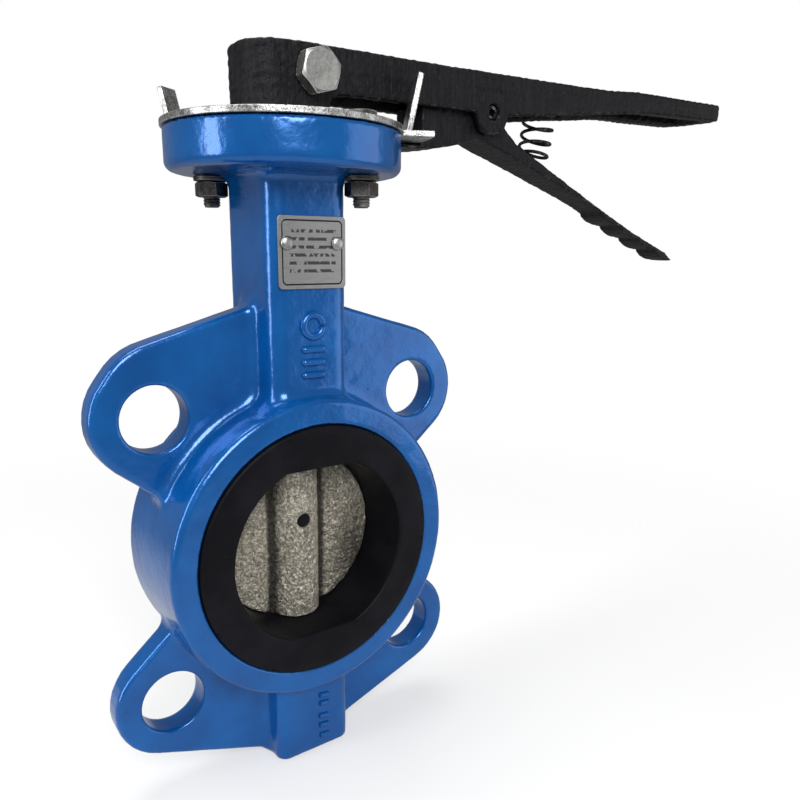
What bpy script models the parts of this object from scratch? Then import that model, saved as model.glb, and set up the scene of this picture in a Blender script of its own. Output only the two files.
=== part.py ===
"""A DN 65 wafer butterfly valve with a notched hand lever, as separate pieces.

The stem stands along Z, the pipe runs along Y, and in the closed position the lever
points to +X. The origin is where the stem axis crosses the middle of the bore.
Sizes are in metres: each is written in millimetres times MM.
"""

import math

import bmesh
import bpy
from mathutils import Matrix, Vector
from mathutils.geometry import convex_hull_2d

MM = 0.001
GAP = 0.3 * MM  # clearance between two pieces that meet
OVERCUT = 1.0 * MM  # how far a cutting shape runs past the faces that it cuts

# Disc, its hub and the pin that ties it to the stem
DISC_RADIUS = 32.25 * MM
HUB_END_INSET = 0.08 * MM  # the corners of the hub's ends lie this far inside the rim
DISC_HALF_THICKNESS = 4.0 * MM
DISC_RIM_HALF_THICKNESS = 2.4 * MM
DISC_HUB_WALL = 3.0 * MM
PIN_RADIUS = 2.5 * MM
PIN_HEIGHT = 7.4 * MM
PIN_RECESS = 1.0 * MM

# Rubber seat and the ring of the body round it
SEAT_WIDTH = 46.0 * MM
SEAT_WALL = 5.65 * MM
SEAT_LIP_HEIGHT = 7.5 * MM
SEAT_LIP_DEPTH = 6.0 * MM
SEAT_MOUTH_FLARE = 1.3 * MM
SEAT_THROAT_LENGTH = 10.0 * MM
SEAT_PROUD = 1.0 * MM  # the seat stands this far out of each face of the ring
RING_WALL = 9.0 * MM
RING_EDGE = 1.6 * MM

# Stem, its bushes and seal
STEM_RADIUS = 6.3 * MM
STEM_SQUARE_SHARE = 1.41  # side of the square end, as a share of the radius
STEM_SUNK = 1.0 * MM  # the stem ends this far below the lever's top
BUSH_WALL = 1.8 * MM
BUSH_LENGTH = 18.0 * MM
BUSH_ABOVE_RING = 5.0 * MM
SEAL_LENGTH = 3.0 * MM
SEAL_DEPTH = 1.0 * MM

# Neck, bottom stub and top flange of the casting
NECK_HALF_WIDTH = 15.0 * MM
NECK_HALF_DEPTH = 17.3 * MM
NECK_CORNER = 6.0 * MM
STUB_HALF_WIDTH = 15.3 * MM
STUB_HALF_DEPTH = 15.3 * MM
STUB_CORNER = 4.5 * MM
STUB_LENGTH = 31.3 * MM
STUB_FLOOR = 9.0 * MM
FLANGE_TOP = 142.8 * MM
FLANGE_THICKNESS = 13.5 * MM
FLANGE_CHAMFER = 2.5 * MM
FLANGE_RIM = 12.9 * MM  # from the bolt circle to the edge
BOLT_RADIUS = 3.0 * MM
BOLT_HOLE_RADIUS = 3.5 * MM

# The four lugs that the flange bolts of the pipe pass through
LUG_REACH = 17.5 * MM  # from the ring's outside to the circle of the lug holes
LUG_HOLE_RADIUS = 11.2 * MM
LUG_THICKNESS = 10.0 * MM
LUG_PAD_WALLS = (8.8 * MM, 9.6 * MM)  # of the lower and the upper lugs
LUG_SHOULDER_WALL = 10.3 * MM
LUG_SHOULDER_SHIFT = 3.7 * MM  # the upper pads swell inwards and upwards by this
LUG_ROOT_RISE = 32.0 * MM
LUG_ROOT_DROP = 31.0 * MM
LUG_ROOT_SUNK = 1.0 * MM
LUG_RING_ANGLE = math.radians(24.0)

# Notched plate with its two stop ears
PLATE_OVERHANG = 0.8 * MM
PLATE_THICKNESS = 2.0 * MM
SECTOR_DEPTH = 11.3 * MM
SECTOR_ROOT = 4.0 * MM
NOTCH_COUNT = 10
NOTCH_HALF_WIDTH = 2.6 * MM
NOTCH_DEPTH = 5.5 * MM
EAR_OUTSET = 2.8 * MM
EAR_WIDTH = 8.0 * MM
EAR_ROOM = 0.8 * MM  # between the front ear and the closed lever
EAR_INSET = math.radians(5.6)
EAR_LEANS = (math.radians(12.0), math.radians(15.0))
EAR_HEIGHTS = (19.6 * MM, 16.0 * MM)
REAR_EAR_SETBACK = math.radians(9.0)
QUARTER_TURN = math.radians(90.0)

# Fasteners: hexagon across flats, heights of head and nut
M6_FLATS = 10.0 * MM
M6_HEAD = 4.0 * MM
M6_NUT = 5.0 * MM
M6_NUT_TURN = math.radians(23.0)
M6_WASHER_RADIUS = 6.0 * MM
M6_WASHER = 1.5 * MM
M6_BELOW_FLANGE = 10.5 * MM
M8_RADIUS = 4.0 * MM
M8_FLATS = 13.0 * MM
M8_HEAD = 5.3 * MM
M8_HEAD_TURN = math.radians(13.4)
M8_NUT = 6.5 * MM
M8_END_PROUD = 2.0 * MM

# Nameplate and its rivets
NAMEPLATE_WIDTH = 25.4 * MM
NAMEPLATE_HEIGHT = 23.4 * MM
NAMEPLATE_SHARE = 0.66  # how far up the neck its middle lies
NAMEPLATE_THICKNESS = 0.6 * MM
NAMEPLATE_CORNER = 1.5 * MM
RIVET_SPACING = 19.0 * MM
RIVET_LIFT = 3.0 * MM
RIVET_HEAD_RADIUS = 2.3 * MM
RIVET_HEAD = 1.1 * MM
RIVET_SHANK_RADIUS = 1.1 * MM
RIVET_SHANK = 4.0 * MM
RIVET_DOME = (0.6, 0.8)  # a point of the dome, as shares of its radius and height

# Lever, a cast channel. Side outlines are pairs: the share of LEVER_LENGTH from the stem,
# and the height in millimetres above the notched plate
LEVER_LENGTH = 239.5 * MM
LEVER_HALF_WIDTH = 12.0 * MM
LEVER_WALL = 3.6 * MM
LEVER_GROUND = 1.0 * MM
LEVER_TOP = ((0.0, 24.2), (0.24, 25.0), (0.5, 26.4), (0.62, 27.3), (0.71, 29.2))
LEVER_TIP = ((1.0, 30.9), (1.0, 23.5))
LEVER_BOTTOM = ((0.946, 22.3), (0.718, 20.2), (0.502, 14.3), (0.396, 11.2), (0.083, 9.9))
HUB_WALL = 12.5 * MM
HUB_ROUND = 9.0 * MM  # of the hub's back, seen from above
HUB_CORNER = 3.0 * MM
HUB_TOP_DROP = 1.1 * MM
HUB_STEP_DROP = 0.6 * MM
GRIP_SIDE_SWELL = 3.0 * MM
GRIP_WIDENS = (0.62, 0.85)
GRIP_CORNER = 12.0 * MM
CLAMP_OUTSET = 0.55 * MM  # the clamp bolt's axis lies this far outside the stem's flat
CLAMP_HEIGHT = 15.4 * MM
CLAMP_WALL = 2.0 * MM
PIVOT_OUTSET = 32.3 * MM  # from the sector's rim to the trigger's axis
PIVOT_HEIGHT = 11.5 * MM
PIVOT_BOSS_RADIUS = 8.2 * MM
PIVOT_PIN_RADIUS = 2.6 * MM

# Trigger. Its hub is drawn in millimetres from the pivot; its arm in pairs of the share of
# the way from the pivot to the lever's tip, and the height in millimetres from the pivot
TRIGGER_TAPER = 3.1 * MM
TRIGGER_HUB_TOP = ((-21.8, 0.4), (-9.8, 5.8), (4.7, 5.4), (10.7, -4.3), (17.2, -9.4))
TRIGGER_HUB_BOTTOM = ((-3.3, -9.3), (-12.8, -12.2))
TRIGGER_ARM_TOP = ((0.218, -16.4), (0.455, -31.6), (0.646, -43.0), (0.819, -51.8), (0.857, -55.4))
TRIGGER_ARM_BOTTOM = ((0.466, -33.4), (0.405, -29.9), (0.178, -18.7))
TRIGGER_GRIP = ((0.478, -34.3), (0.85, -55.8))
GRIP_WAVES = 4
GRIP_WAVE_STEPS = 6
GRIP_WAVE_HEIGHT = 2.2 * MM
GRIP_WAVE_SKEW = 0.7
NOSE_REACH = 7.7 * MM  # how far the nose runs in under the sector
NOSE_THICKNESS = 1.2 * MM
NOSE_HEEL = (8.5 * MM, 0.9 * MM)
BEAK_HEIGHT = 11.0 * MM

# Trigger spring: a coil on a bent axis from the trigger's arm to the lever's roof
SPRING_WIRE_RADIUS = 0.7 * MM
SPRING_SIDE_ROOM = 1.4 * MM
SPRING_TURNS = 4.75
SPRING_TURN_STEPS = 14
SPRING_FOOT = 0.2125  # shares of the way from the pivot to the lever's tip
SPRING_HEAD = 0.24

# Sides of the polygons that stand for circles
ROUND = 48
LUG_ROUND = 32
STEM_ROUND = 24
SMALL_ROUND = 20
PIN_ROUND = 16
RIVET_ROUND = 12

# What follows from the sizes above
SEAT_THROAT_RADIUS = DISC_RADIUS + GAP
DISC_HUB_RADIUS = STEM_RADIUS + GAP + DISC_HUB_WALL
DISC_FLAT = math.sqrt((DISC_RADIUS - HUB_END_INSET) ** 2 - DISC_HUB_RADIUS**2)
SEAT_FLAT = DISC_FLAT + GAP
SLEEVE_RADIUS = SEAT_THROAT_RADIUS + SEAT_WALL
RING_BORE_RADIUS = SLEEVE_RADIUS + GAP
SEAT_LIP_RADIUS = RING_BORE_RADIUS + SEAT_LIP_HEIGHT
RING_RADIUS = SEAT_LIP_RADIUS + RING_WALL
RING_WIDTH = SEAT_WIDTH - 2.0 * SEAT_PROUD
STUB_BOTTOM = -RING_RADIUS - STUB_LENGTH
STEM_BOTTOM = STUB_BOTTOM + STUB_FLOOR + 2.0 * GAP
STEM_SQUARE = STEM_RADIUS * STEM_SQUARE_SHARE
BORE_RADIUS = STEM_RADIUS + GAP
BUSH_RADIUS = BORE_RADIUS + BUSH_WALL
FLANGE_BOTTOM = FLANGE_TOP - FLANGE_THICKNESS
PLATE_BOTTOM = FLANGE_TOP + GAP
PLATE_TOP = PLATE_BOTTOM + PLATE_THICKNESS
LUG_OFFSET = (RING_RADIUS + LUG_REACH) * math.sqrt(0.5)

# The flange's bolts stand as close to the stem as the neck's corners leave room for washers
CORNER_X = NECK_HALF_WIDTH - NECK_CORNER
CORNER_Y = NECK_HALF_DEPTH - NECK_CORNER
WASHER_REACH = NECK_CORNER + M6_WASHER_RADIUS + GAP
BOLT_OFFSET = (CORNER_X + CORNER_Y) / 2 + math.sqrt(
    WASHER_REACH**2 / 2 - ((CORNER_X - CORNER_Y) / 2) ** 2
)
FLANGE_RADIUS = BOLT_OFFSET * math.sqrt(2.0) + FLANGE_RIM
PLATE_RADIUS = FLANGE_RADIUS + PLATE_OVERHANG
SECTOR_RADIUS = PLATE_RADIUS + SECTOR_DEPTH
EAR_RADIUS = PLATE_RADIUS + EAR_OUTSET
EAR_ANGLE = math.asin((LEVER_HALF_WIDTH + EAR_ROOM + EAR_WIDTH / 2) / EAR_RADIUS)
NAMEPLATE_MIDDLE = RING_RADIUS + (FLANGE_BOTTOM - RING_RADIUS) * NAMEPLATE_SHARE
RIVET_HEIGHT = NAMEPLATE_MIDDLE + RIVET_LIFT

HUB_BACK = -STEM_SQUARE / 2 - HUB_WALL
CLAMP_X = STEM_SQUARE / 2 + CLAMP_OUTSET
CLAMP_Z = PLATE_TOP + CLAMP_HEIGHT
HUB_FRONT = CLAMP_X + M8_RADIUS + GAP + CLAMP_WALL
HUB_BOTTOM = PLATE_TOP + LEVER_GROUND
PIVOT_X = SECTOR_RADIUS + PIVOT_OUTSET
PIVOT_Z = PLATE_TOP + PIVOT_HEIGHT
CHANNEL_HALF_WIDTH = LEVER_HALF_WIDTH - LEVER_WALL
GRIP_HALF_WIDTH = LEVER_HALF_WIDTH + GRIP_SIDE_SWELL
TRIGGER_HALF_WIDTH = CHANNEL_HALF_WIDTH - GAP
SPRING_RADIUS = CHANNEL_HALF_WIDTH - SPRING_SIDE_ROOM - SPRING_WIRE_RADIUS
NOSE_TOP = PLATE_BOTTOM - 2.0 * GAP
NOSE_BOTTOM = NOSE_TOP - NOSE_THICKNESS
NOSE_TIP = SECTOR_RADIUS - NOSE_REACH


def clear_scene():
    """Remove every object that the new file came with."""
    for old in list(bpy.data.objects):
        bpy.data.objects.remove(old, do_unlink=True)


def material(name, colour, roughness, metallic):
    """A plain Principled material."""
    made = bpy.data.materials.new(name)
    made.use_nodes = True
    shader = made.node_tree.nodes["Principled BSDF"]
    shader.inputs["Base Color"].default_value = (*colour, 1.0)
    shader.inputs["Roughness"].default_value = roughness
    shader.inputs["Metallic"].default_value = metallic
    return made


def add_object(name, shape, looks=None):
    """Turn a bmesh into an object with smooth round sides, and free the bmesh."""
    bmesh.ops.remove_doubles(shape, verts=shape.verts, dist=1e-6)
    bmesh.ops.recalc_face_normals(shape, faces=shape.faces)
    mesh = bpy.data.meshes.new(name)
    shape.to_mesh(mesh)
    shape.free()
    mesh.shade_smooth()
    mesh.set_sharp_from_angle(angle=math.radians(35.0))
    made = bpy.data.objects.new(name, mesh)
    bpy.context.scene.collection.objects.link(made)
    if looks:
        mesh.materials.append(looks)
    return made


def upright(x, y, z):
    """Map a prism's (first, second, height) to X, Y, Z."""
    return Vector((x, y, z))


def side_view(x, z, y):
    """Map an outline drawn in X and Z, with its thickness along Y."""
    return Vector((x, y, z))


def prism(name, outline, low, high, looks=None, place=upright):
    """A flat outline given thickness from low to high."""
    shape = bmesh.new()
    base = shape.faces.new([shape.verts.new(place(a, b, low)) for a, b in outline])
    lifted = bmesh.ops.extrude_face_region(shape, geom=[base])["geom"]
    rise = place(0.0, 0.0, high) - place(0.0, 0.0, low)
    moved = [item for item in lifted if isinstance(item, bmesh.types.BMVert)]
    bmesh.ops.translate(shape, verts=moved, vec=rise)
    return add_object(name, shape, looks)


def turned(name, profile, looks=None, axis="Z", steps=ROUND):
    """A closed profile of (radius, height) points turned round the axis."""
    shape = bmesh.new()
    points = [shape.verts.new((radius, 0.0, height)) for radius, height in profile]
    edges = [shape.edges.new(pair) for pair in zip(points, points[1:] + points[:1])]
    bmesh.ops.spin(
        shape,
        geom=points + edges,
        cent=(0.0, 0.0, 0.0),
        axis=(0.0, 0.0, 1.0),
        angle=2.0 * math.pi,
        steps=steps,
    )
    bmesh.ops.remove_doubles(shape, verts=shape.verts, dist=1e-6)
    on_axis = [edge for edge in shape.edges if not edge.link_faces or edge.calc_length() < 1e-7]
    bmesh.ops.delete(shape, geom=on_axis, context="EDGES")
    if axis == "Y":
        bmesh.ops.rotate(shape, verts=shape.verts, matrix=Matrix.Rotation(-math.pi / 2, 3, "X"))
    return add_object(name, shape, looks)


def rod(name, radius, low, high, looks=None, axis="Z", at=(0.0, 0.0, 0.0), steps=SMALL_ROUND):
    """A plain cylinder between two heights on its axis, moved to a place."""
    profile = [(0.0, low), (radius, low), (radius, high), (0.0, high)]
    made = turned(name, profile, looks, axis, steps)
    made.data.transform(Matrix.Translation(at))
    return made


def arc(centre, radius, start, end, steps):
    """Points on a circle from one angle to another."""
    turn = (end - start) / steps
    return [
        (
            centre[0] + radius * math.cos(start + turn * i),
            centre[1] + radius * math.sin(start + turn * i),
        )
        for i in range(steps + 1)
    ]


def rounded_box(half_width, half_depth, corner, steps=4):
    """The outline of a rectangle with round corners."""
    points = []
    for quarter, (x_side, y_side) in enumerate(((1, 1), (-1, 1), (-1, -1), (1, -1))):
        centre = (x_side * (half_width - corner), y_side * (half_depth - corner))
        start = quarter * math.pi / 2
        points += arc(centre, corner, start, start + math.pi / 2, steps)
    return points


def hexagon(flats, turn=0.0):
    """The six corners of a hexagon of this width across flats."""
    return arc((0.0, 0.0), flats / math.sqrt(3.0), turn, turn + math.radians(300.0), 5)


def on_lever(points):
    """Shares of the lever's length, and heights above the plate, as X and Z."""
    return [(share * LEVER_LENGTH, PLATE_TOP + height * MM) for share, height in points]


def from_pivot(points):
    """Millimetres from the trigger's axis, as X and Z."""
    return [(PIVOT_X + x * MM, PIVOT_Z + z * MM) for x, z in points]


def on_arm(points):
    """Shares of the way from the pivot to the lever's tip, and heights, as X and Z."""
    reach = LEVER_LENGTH - PIVOT_X
    return [(PIVOT_X + share * reach, PIVOT_Z + z * MM) for share, z in points]


def combine(target, tool, operation):
    """A Boolean on the target with a tool that is left out of the model."""
    modifier = target.modifiers.new(f"{operation} {tool.name}", "BOOLEAN")
    modifier.object = tool
    modifier.operation = operation
    modifier.solver = "EXACT"
    tool.hide_render = True
    tool.display_type = "WIRE"


def cut(target, tool):
    combine(target, tool, "DIFFERENCE")


def join(target, tool):
    combine(target, tool, "UNION")


def keep_inside(target, tool):
    combine(target, tool, "INTERSECT")


def bolt_places():
    """The four holes of the top flange, from the front right one round."""
    signs = ((1, -1), (1, 1), (-1, 1), (-1, -1))
    return [(x_side * BOLT_OFFSET, y_side * BOLT_OFFSET) for x_side, y_side in signs]


def lug_outline(x_side, z_side):
    """The outline of one lug: a round pad with webs to the ring and to the neck or stub."""
    pad = LUG_HOLE_RADIUS + LUG_PAD_WALLS[z_side > 0]
    points = arc((LUG_OFFSET, LUG_OFFSET), pad, 0.0, 2.0 * math.pi, 40)
    root = RING_RADIUS + LUG_ROOT_DROP
    if z_side > 0:
        root = RING_RADIUS + LUG_ROOT_RISE
        shoulder = (LUG_OFFSET - LUG_SHOULDER_SHIFT, LUG_OFFSET + LUG_SHOULDER_SHIFT)
        points += arc(shoulder, LUG_HOLE_RADIUS + LUG_SHOULDER_WALL, 0.0, 2.0 * math.pi, 40)
    inside = RING_RADIUS - 2.0 * RING_EDGE
    points.append((NECK_HALF_WIDTH - LUG_ROOT_SUNK, root))
    points.append((NECK_HALF_WIDTH - LUG_ROOT_SUNK, LUG_OFFSET))
    points.append((inside * math.cos(LUG_RING_ANGLE), inside * math.sin(LUG_RING_ANGLE)))
    placed = [Vector((x_side * x, z_side * z)) for x, z in points]
    return [tuple(placed[i]) for i in convex_hull_2d(placed)]


def body_casting(paint):
    """Ring, neck, top flange, bottom stub and lugs in one piece, bored for seat and stem."""
    half = RING_WIDTH / 2
    body = turned(
        "body_casting",
        [
            (0.0, -half),
            (RING_RADIUS - RING_EDGE, -half),
            (RING_RADIUS, -half + RING_EDGE),
            (RING_RADIUS, half - RING_EDGE),
            (RING_RADIUS - RING_EDGE, half),
            (0.0, half),
        ],
        paint,
        axis="Y",
    )
    neck = rounded_box(NECK_HALF_WIDTH, NECK_HALF_DEPTH, NECK_CORNER)
    join(body, prism("neck_block", neck, RING_BORE_RADIUS, FLANGE_BOTTOM + FLANGE_CHAMFER))
    stub = rounded_box(STUB_HALF_WIDTH, STUB_HALF_DEPTH, STUB_CORNER)
    join(body, prism("stub_block", stub, STUB_BOTTOM, -RING_BORE_RADIUS))
    flange = [
        (0.0, FLANGE_BOTTOM),
        (FLANGE_RADIUS - FLANGE_CHAMFER, FLANGE_BOTTOM),
        (FLANGE_RADIUS, FLANGE_BOTTOM + FLANGE_CHAMFER),
        (FLANGE_RADIUS, FLANGE_TOP),
        (0.0, FLANGE_TOP),
    ]
    join(body, turned("flange_block", flange))
    half = LUG_THICKNESS / 2
    for side, (x_side, z_side) in enumerate(((-1, 1), (1, 1), (-1, -1), (1, -1))):
        outline = lug_outline(x_side, z_side)
        join(body, prism(f"lug_block_{side}", outline, -half, half, place=side_view))
        at = (x_side * LUG_OFFSET, 0.0, z_side * LUG_OFFSET)
        hole = [LUG_HOLE_RADIUS, -half - OVERCUT, half + OVERCUT]
        cut(body, rod(f"lug_hole_{side}", *hole, None, "Y", at, LUG_ROUND))
    above = FLANGE_TOP + OVERCUT
    stem_hole = [BUSH_RADIUS + GAP, STUB_BOTTOM + STUB_FLOOR, above]
    cut(body, rod("stem_hole", *stem_hole, steps=STEM_ROUND))
    seal_hole = [BUSH_RADIUS + SEAL_DEPTH + GAP, FLANGE_TOP - SEAL_LENGTH - GAP, above]
    cut(body, rod("seal_hole", *seal_hole, steps=STEM_ROUND))
    for i, (x, y) in enumerate(bolt_places()):
        span = [BOLT_HOLE_RADIUS, FLANGE_BOTTOM - OVERCUT, above]
        cut(body, rod(f"flange_hole_{i}", *span, at=(x, y, 0.0)))
    for i, x in enumerate((-RIVET_SPACING / 2, RIVET_SPACING / 2)):
        span = [-NECK_HALF_DEPTH - OVERCUT, RIVET_SHANK - NECK_HALF_DEPTH + GAP, None, "Y"]
        at = (x, 0.0, RIVET_HEIGHT)
        cut(body, rod(f"rivet_hole_{i}", RIVET_SHANK_RADIUS + GAP, *span, at, RIVET_ROUND))
    cut(body, seat_pocket())
    return body


def seat_pocket():
    """The space that the rubber seat fills in the ring, with its clearance."""
    face = RING_WIDTH / 2 + OVERCUT
    step = SEAT_WIDTH / 2 - SEAT_LIP_DEPTH - GAP
    lip = SEAT_LIP_RADIUS + GAP
    profile = [
        (0.0, -face),
        (lip, -face),
        (lip, -step),
        (RING_BORE_RADIUS, -step),
        (RING_BORE_RADIUS, step),
        (lip, step),
        (lip, face),
        (0.0, face),
    ]
    return turned("seat_pocket", profile, axis="Y")


def seat_liner(rubber):
    """A rubber sleeve with a lip on each face and a flat where the stem passes."""
    half = SEAT_WIDTH / 2
    step = half - SEAT_LIP_DEPTH
    sleeve = SLEEVE_RADIUS
    profile = [
        (0.0, -half),
        (SEAT_LIP_RADIUS, -half),
        (SEAT_LIP_RADIUS, -step),
        (sleeve, -step),
        (sleeve, step),
        (SEAT_LIP_RADIUS, step),
        (SEAT_LIP_RADIUS, half),
        (0.0, half),
    ]
    seat = turned("seat_liner", profile, rubber, axis="Y")
    throat = SEAT_THROAT_LENGTH / 2
    mouth = SEAT_THROAT_RADIUS + SEAT_MOUTH_FLARE
    waterway = [
        (0.0, -half - GAP),
        (mouth, -half - GAP),
        (SEAT_THROAT_RADIUS, -throat),
        (SEAT_THROAT_RADIUS, throat),
        (mouth, half + GAP),
        (0.0, half + GAP),
    ]
    opening = turned("waterway", waterway, axis="Y")
    wide = SEAT_LIP_RADIUS
    slab = [(-wide, -SEAT_FLAT), (wide, -SEAT_FLAT), (wide, SEAT_FLAT), (-wide, SEAT_FLAT)]
    keep_inside(opening, prism("waterway_flats", slab, -half * 2, half * 2, place=side_view))
    cut(seat, opening)
    cut(seat, rod("seat_stem_hole", BORE_RADIUS, -RING_RADIUS, RING_RADIUS))
    return seat


def disc(iron):
    """A lens with a round rim, a hub along the stem and a flat at each end of the hub."""
    rim = DISC_RIM_HALF_THICKNESS
    edge = math.sqrt(DISC_RADIUS**2 - rim**2)
    profile = [
        (0.0, -DISC_HALF_THICKNESS),
        (DISC_HUB_RADIUS, -DISC_HALF_THICKNESS),
        (edge, -rim),
        (DISC_RADIUS, 0.0),
        (edge, rim),
        (DISC_HUB_RADIUS, DISC_HALF_THICKNESS),
        (0.0, DISC_HALF_THICKNESS),
    ]
    made = turned("disc", profile, iron, axis="Y")
    join(made, rod("disc_hub", DISC_HUB_RADIUS, -DISC_FLAT, DISC_FLAT, steps=32))
    wide = DISC_RADIUS * 2
    slab = [(-wide, -DISC_FLAT), (wide, -DISC_FLAT), (wide, DISC_FLAT), (-wide, DISC_FLAT)]
    keep_inside(made, prism("disc_flats", slab, -wide, wide, place=side_view))
    cut(made, rod("disc_stem_hole", BORE_RADIUS, -wide, wide))
    cut(made, pin_hole("disc_pin_hole"))
    return made


def pin_hole(name):
    """The cross hole of the pin that ties disc and stem."""
    wide = DISC_HUB_RADIUS + OVERCUT
    return rod(name, PIN_RADIUS + GAP, -wide, wide, None, "Y", (0.0, 0.0, PIN_HEIGHT), PIN_ROUND)


def disc_pin(steel):
    """The straight pin through hub and stem, sunk a little below the hub."""
    half = DISC_HUB_RADIUS - PIN_RECESS
    return rod("disc_pin", PIN_RADIUS, -half, half, steel, "Y", (0.0, 0.0, PIN_HEIGHT), PIN_ROUND)


def stem(steel):
    """Round from the bottom bush to the flange, then square in the lever's hub."""
    made = rod("stem", STEM_RADIUS, STEM_BOTTOM, PLATE_TOP, steel, steps=STEM_ROUND)
    side = STEM_SQUARE / 2
    square = [(-side, -side), (side, -side), (side, side), (-side, side)]
    top = PLATE_TOP + LEVER_TOP[0][1] * MM - STEM_SUNK
    join(made, prism("stem_square", square, PLATE_BOTTOM, top))
    cut(made, pin_hole("stem_pin_hole"))
    notch = [M8_RADIUS + GAP, -STEM_SQUARE, STEM_SQUARE]
    cut(made, rod("stem_notch", *notch, None, "Y", (CLAMP_X, 0.0, CLAMP_Z)))
    return made


def ring(name, inner, outer, low, high, looks, at=(0.0, 0.0, 0.0), steps=SMALL_ROUND):
    """A washer, bush or seal."""
    profile = [(inner, low), (outer, low), (outer, high), (inner, high)]
    made = turned(name, profile, looks, steps=steps)
    made.data.transform(Matrix.Translation(at))
    return made


def bushes(bronze, rubber):
    """Two bushes in the neck, one in the stub, and the seal under the plate."""
    seal_bottom = FLANGE_TOP - SEAL_LENGTH
    places = (
        ("lower_neck_bush", RING_RADIUS + BUSH_ABOVE_RING),
        ("upper_neck_bush", seal_bottom - 2.0 * GAP - BUSH_LENGTH),
        ("bottom_bush", STUB_BOTTOM + STUB_FLOOR + GAP),
    )
    for name, low in places:
        span = (low, low + BUSH_LENGTH)
        ring(name, BORE_RADIUS, BUSH_RADIUS, *span, bronze, steps=STEM_ROUND)
    seal = (BORE_RADIUS, BUSH_RADIUS + SEAL_DEPTH)
    ring("stem_seal", *seal, seal_bottom, FLANGE_TOP, rubber, steps=STEM_ROUND)


def stop_ear(name, angle, height, lean):
    """A tab bent up from the plate, leaning outwards."""
    half = EAR_WIDTH / 2
    tab = [(0.0, -half), (PLATE_THICKNESS, -half), (PLATE_THICKNESS, half), (0.0, half)]
    made = prism(name, tab, 0.0, height + PLATE_THICKNESS)
    outward = Matrix.Rotation(lean, 4, "Y")
    base = Matrix.Translation((EAR_RADIUS - PLATE_THICKNESS / 2, 0.0, PLATE_BOTTOM + GAP))
    made.data.transform(Matrix.Rotation(angle, 4, "Z") @ base @ outward)
    return made


def position_plate(zinc):
    """A round plate with a sector of notches, one for each lever position."""
    middle = arc((0.0, 0.0), PLATE_RADIUS, 0.0, 2.0 * math.pi, ROUND)[:-1]
    plate = prism("position_plate", middle, PLATE_BOTTOM, PLATE_TOP, zinc)
    rear_ear = QUARTER_TURN + EAR_ANGLE + REAR_EAR_SETBACK
    start = -EAR_ANGLE - EAR_INSET
    step = rear_ear - EAR_INSET
    end = rear_ear + EAR_INSET
    rim = arc((0.0, 0.0), SECTOR_RADIUS, start, step, SMALL_ROUND)
    rim += arc((0.0, 0.0), EAR_RADIUS + PLATE_THICKNESS / 2, step, end, 4)
    root = arc((0.0, 0.0), PLATE_RADIUS - SECTOR_ROOT, end, start, SMALL_ROUND)
    join(plate, prism("sector", rim + root, PLATE_BOTTOM, PLATE_TOP))
    span = (PLATE_BOTTOM - OVERCUT, PLATE_TOP + OVERCUT)
    near = SECTOR_RADIUS - NOTCH_DEPTH
    far = SECTOR_RADIUS + OVERCUT
    side = NOTCH_HALF_WIDTH
    opening = [(near, -side), (far, -side), (far, side), (near, side)]
    for i in range(NOTCH_COUNT):
        slot = prism(f"notch_{i}", opening, *span)
        turn = QUARTER_TURN * i / (NOTCH_COUNT - 1)
        slot.data.transform(Matrix.Rotation(turn, 4, "Z"))
        cut(plate, slot)
    cut(plate, rod("plate_stem_hole", BORE_RADIUS + GAP, *span))
    for i, (x, y) in enumerate(bolt_places()):
        cut(plate, rod(f"plate_hole_{i}", BOLT_HOLE_RADIUS, *span, at=(x, y, 0.0)))
    join(plate, stop_ear("front_ear", -EAR_ANGLE, EAR_HEIGHTS[0], EAR_LEANS[0]))
    join(plate, stop_ear("rear_ear", rear_ear, EAR_HEIGHTS[1], EAR_LEANS[1]))
    return plate


def plate_fasteners(steel):
    """A bolt, a washer and a nut in two opposite holes of the flange."""
    places = bolt_places()
    for name, (x, y) in (("front", places[0]), ("rear", places[2])):
        at = Matrix.Translation((x, y, 0.0))
        head = PLATE_TOP + GAP
        end = FLANGE_BOTTOM - M6_BELOW_FLANGE
        bolt = prism(f"plate_bolt_{name}", hexagon(M6_FLATS), head, head + M6_HEAD, steel)
        bolt.data.transform(at)
        join(bolt, rod(f"plate_shank_{name}", BOLT_RADIUS, end, head + GAP, at=(x, y, 0.0)))
        top = FLANGE_BOTTOM - GAP
        hole = BOLT_RADIUS + GAP
        span = (top - M6_WASHER, top)
        ring(f"plate_washer_{name}", hole, M6_WASHER_RADIUS, *span, steel, (x, y, 0.0))
        nut_top = top - M6_WASHER - GAP
        flats = hexagon(M6_FLATS, M6_NUT_TURN)
        nut = prism(f"plate_nut_{name}", flats, nut_top - M6_NUT, nut_top, steel)
        nut.data.transform(at)
        cut(nut, rod(f"nut_hole_{name}", hole, end - OVERCUT, nut_top + GAP, at=(x, y, 0.0)))


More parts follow.
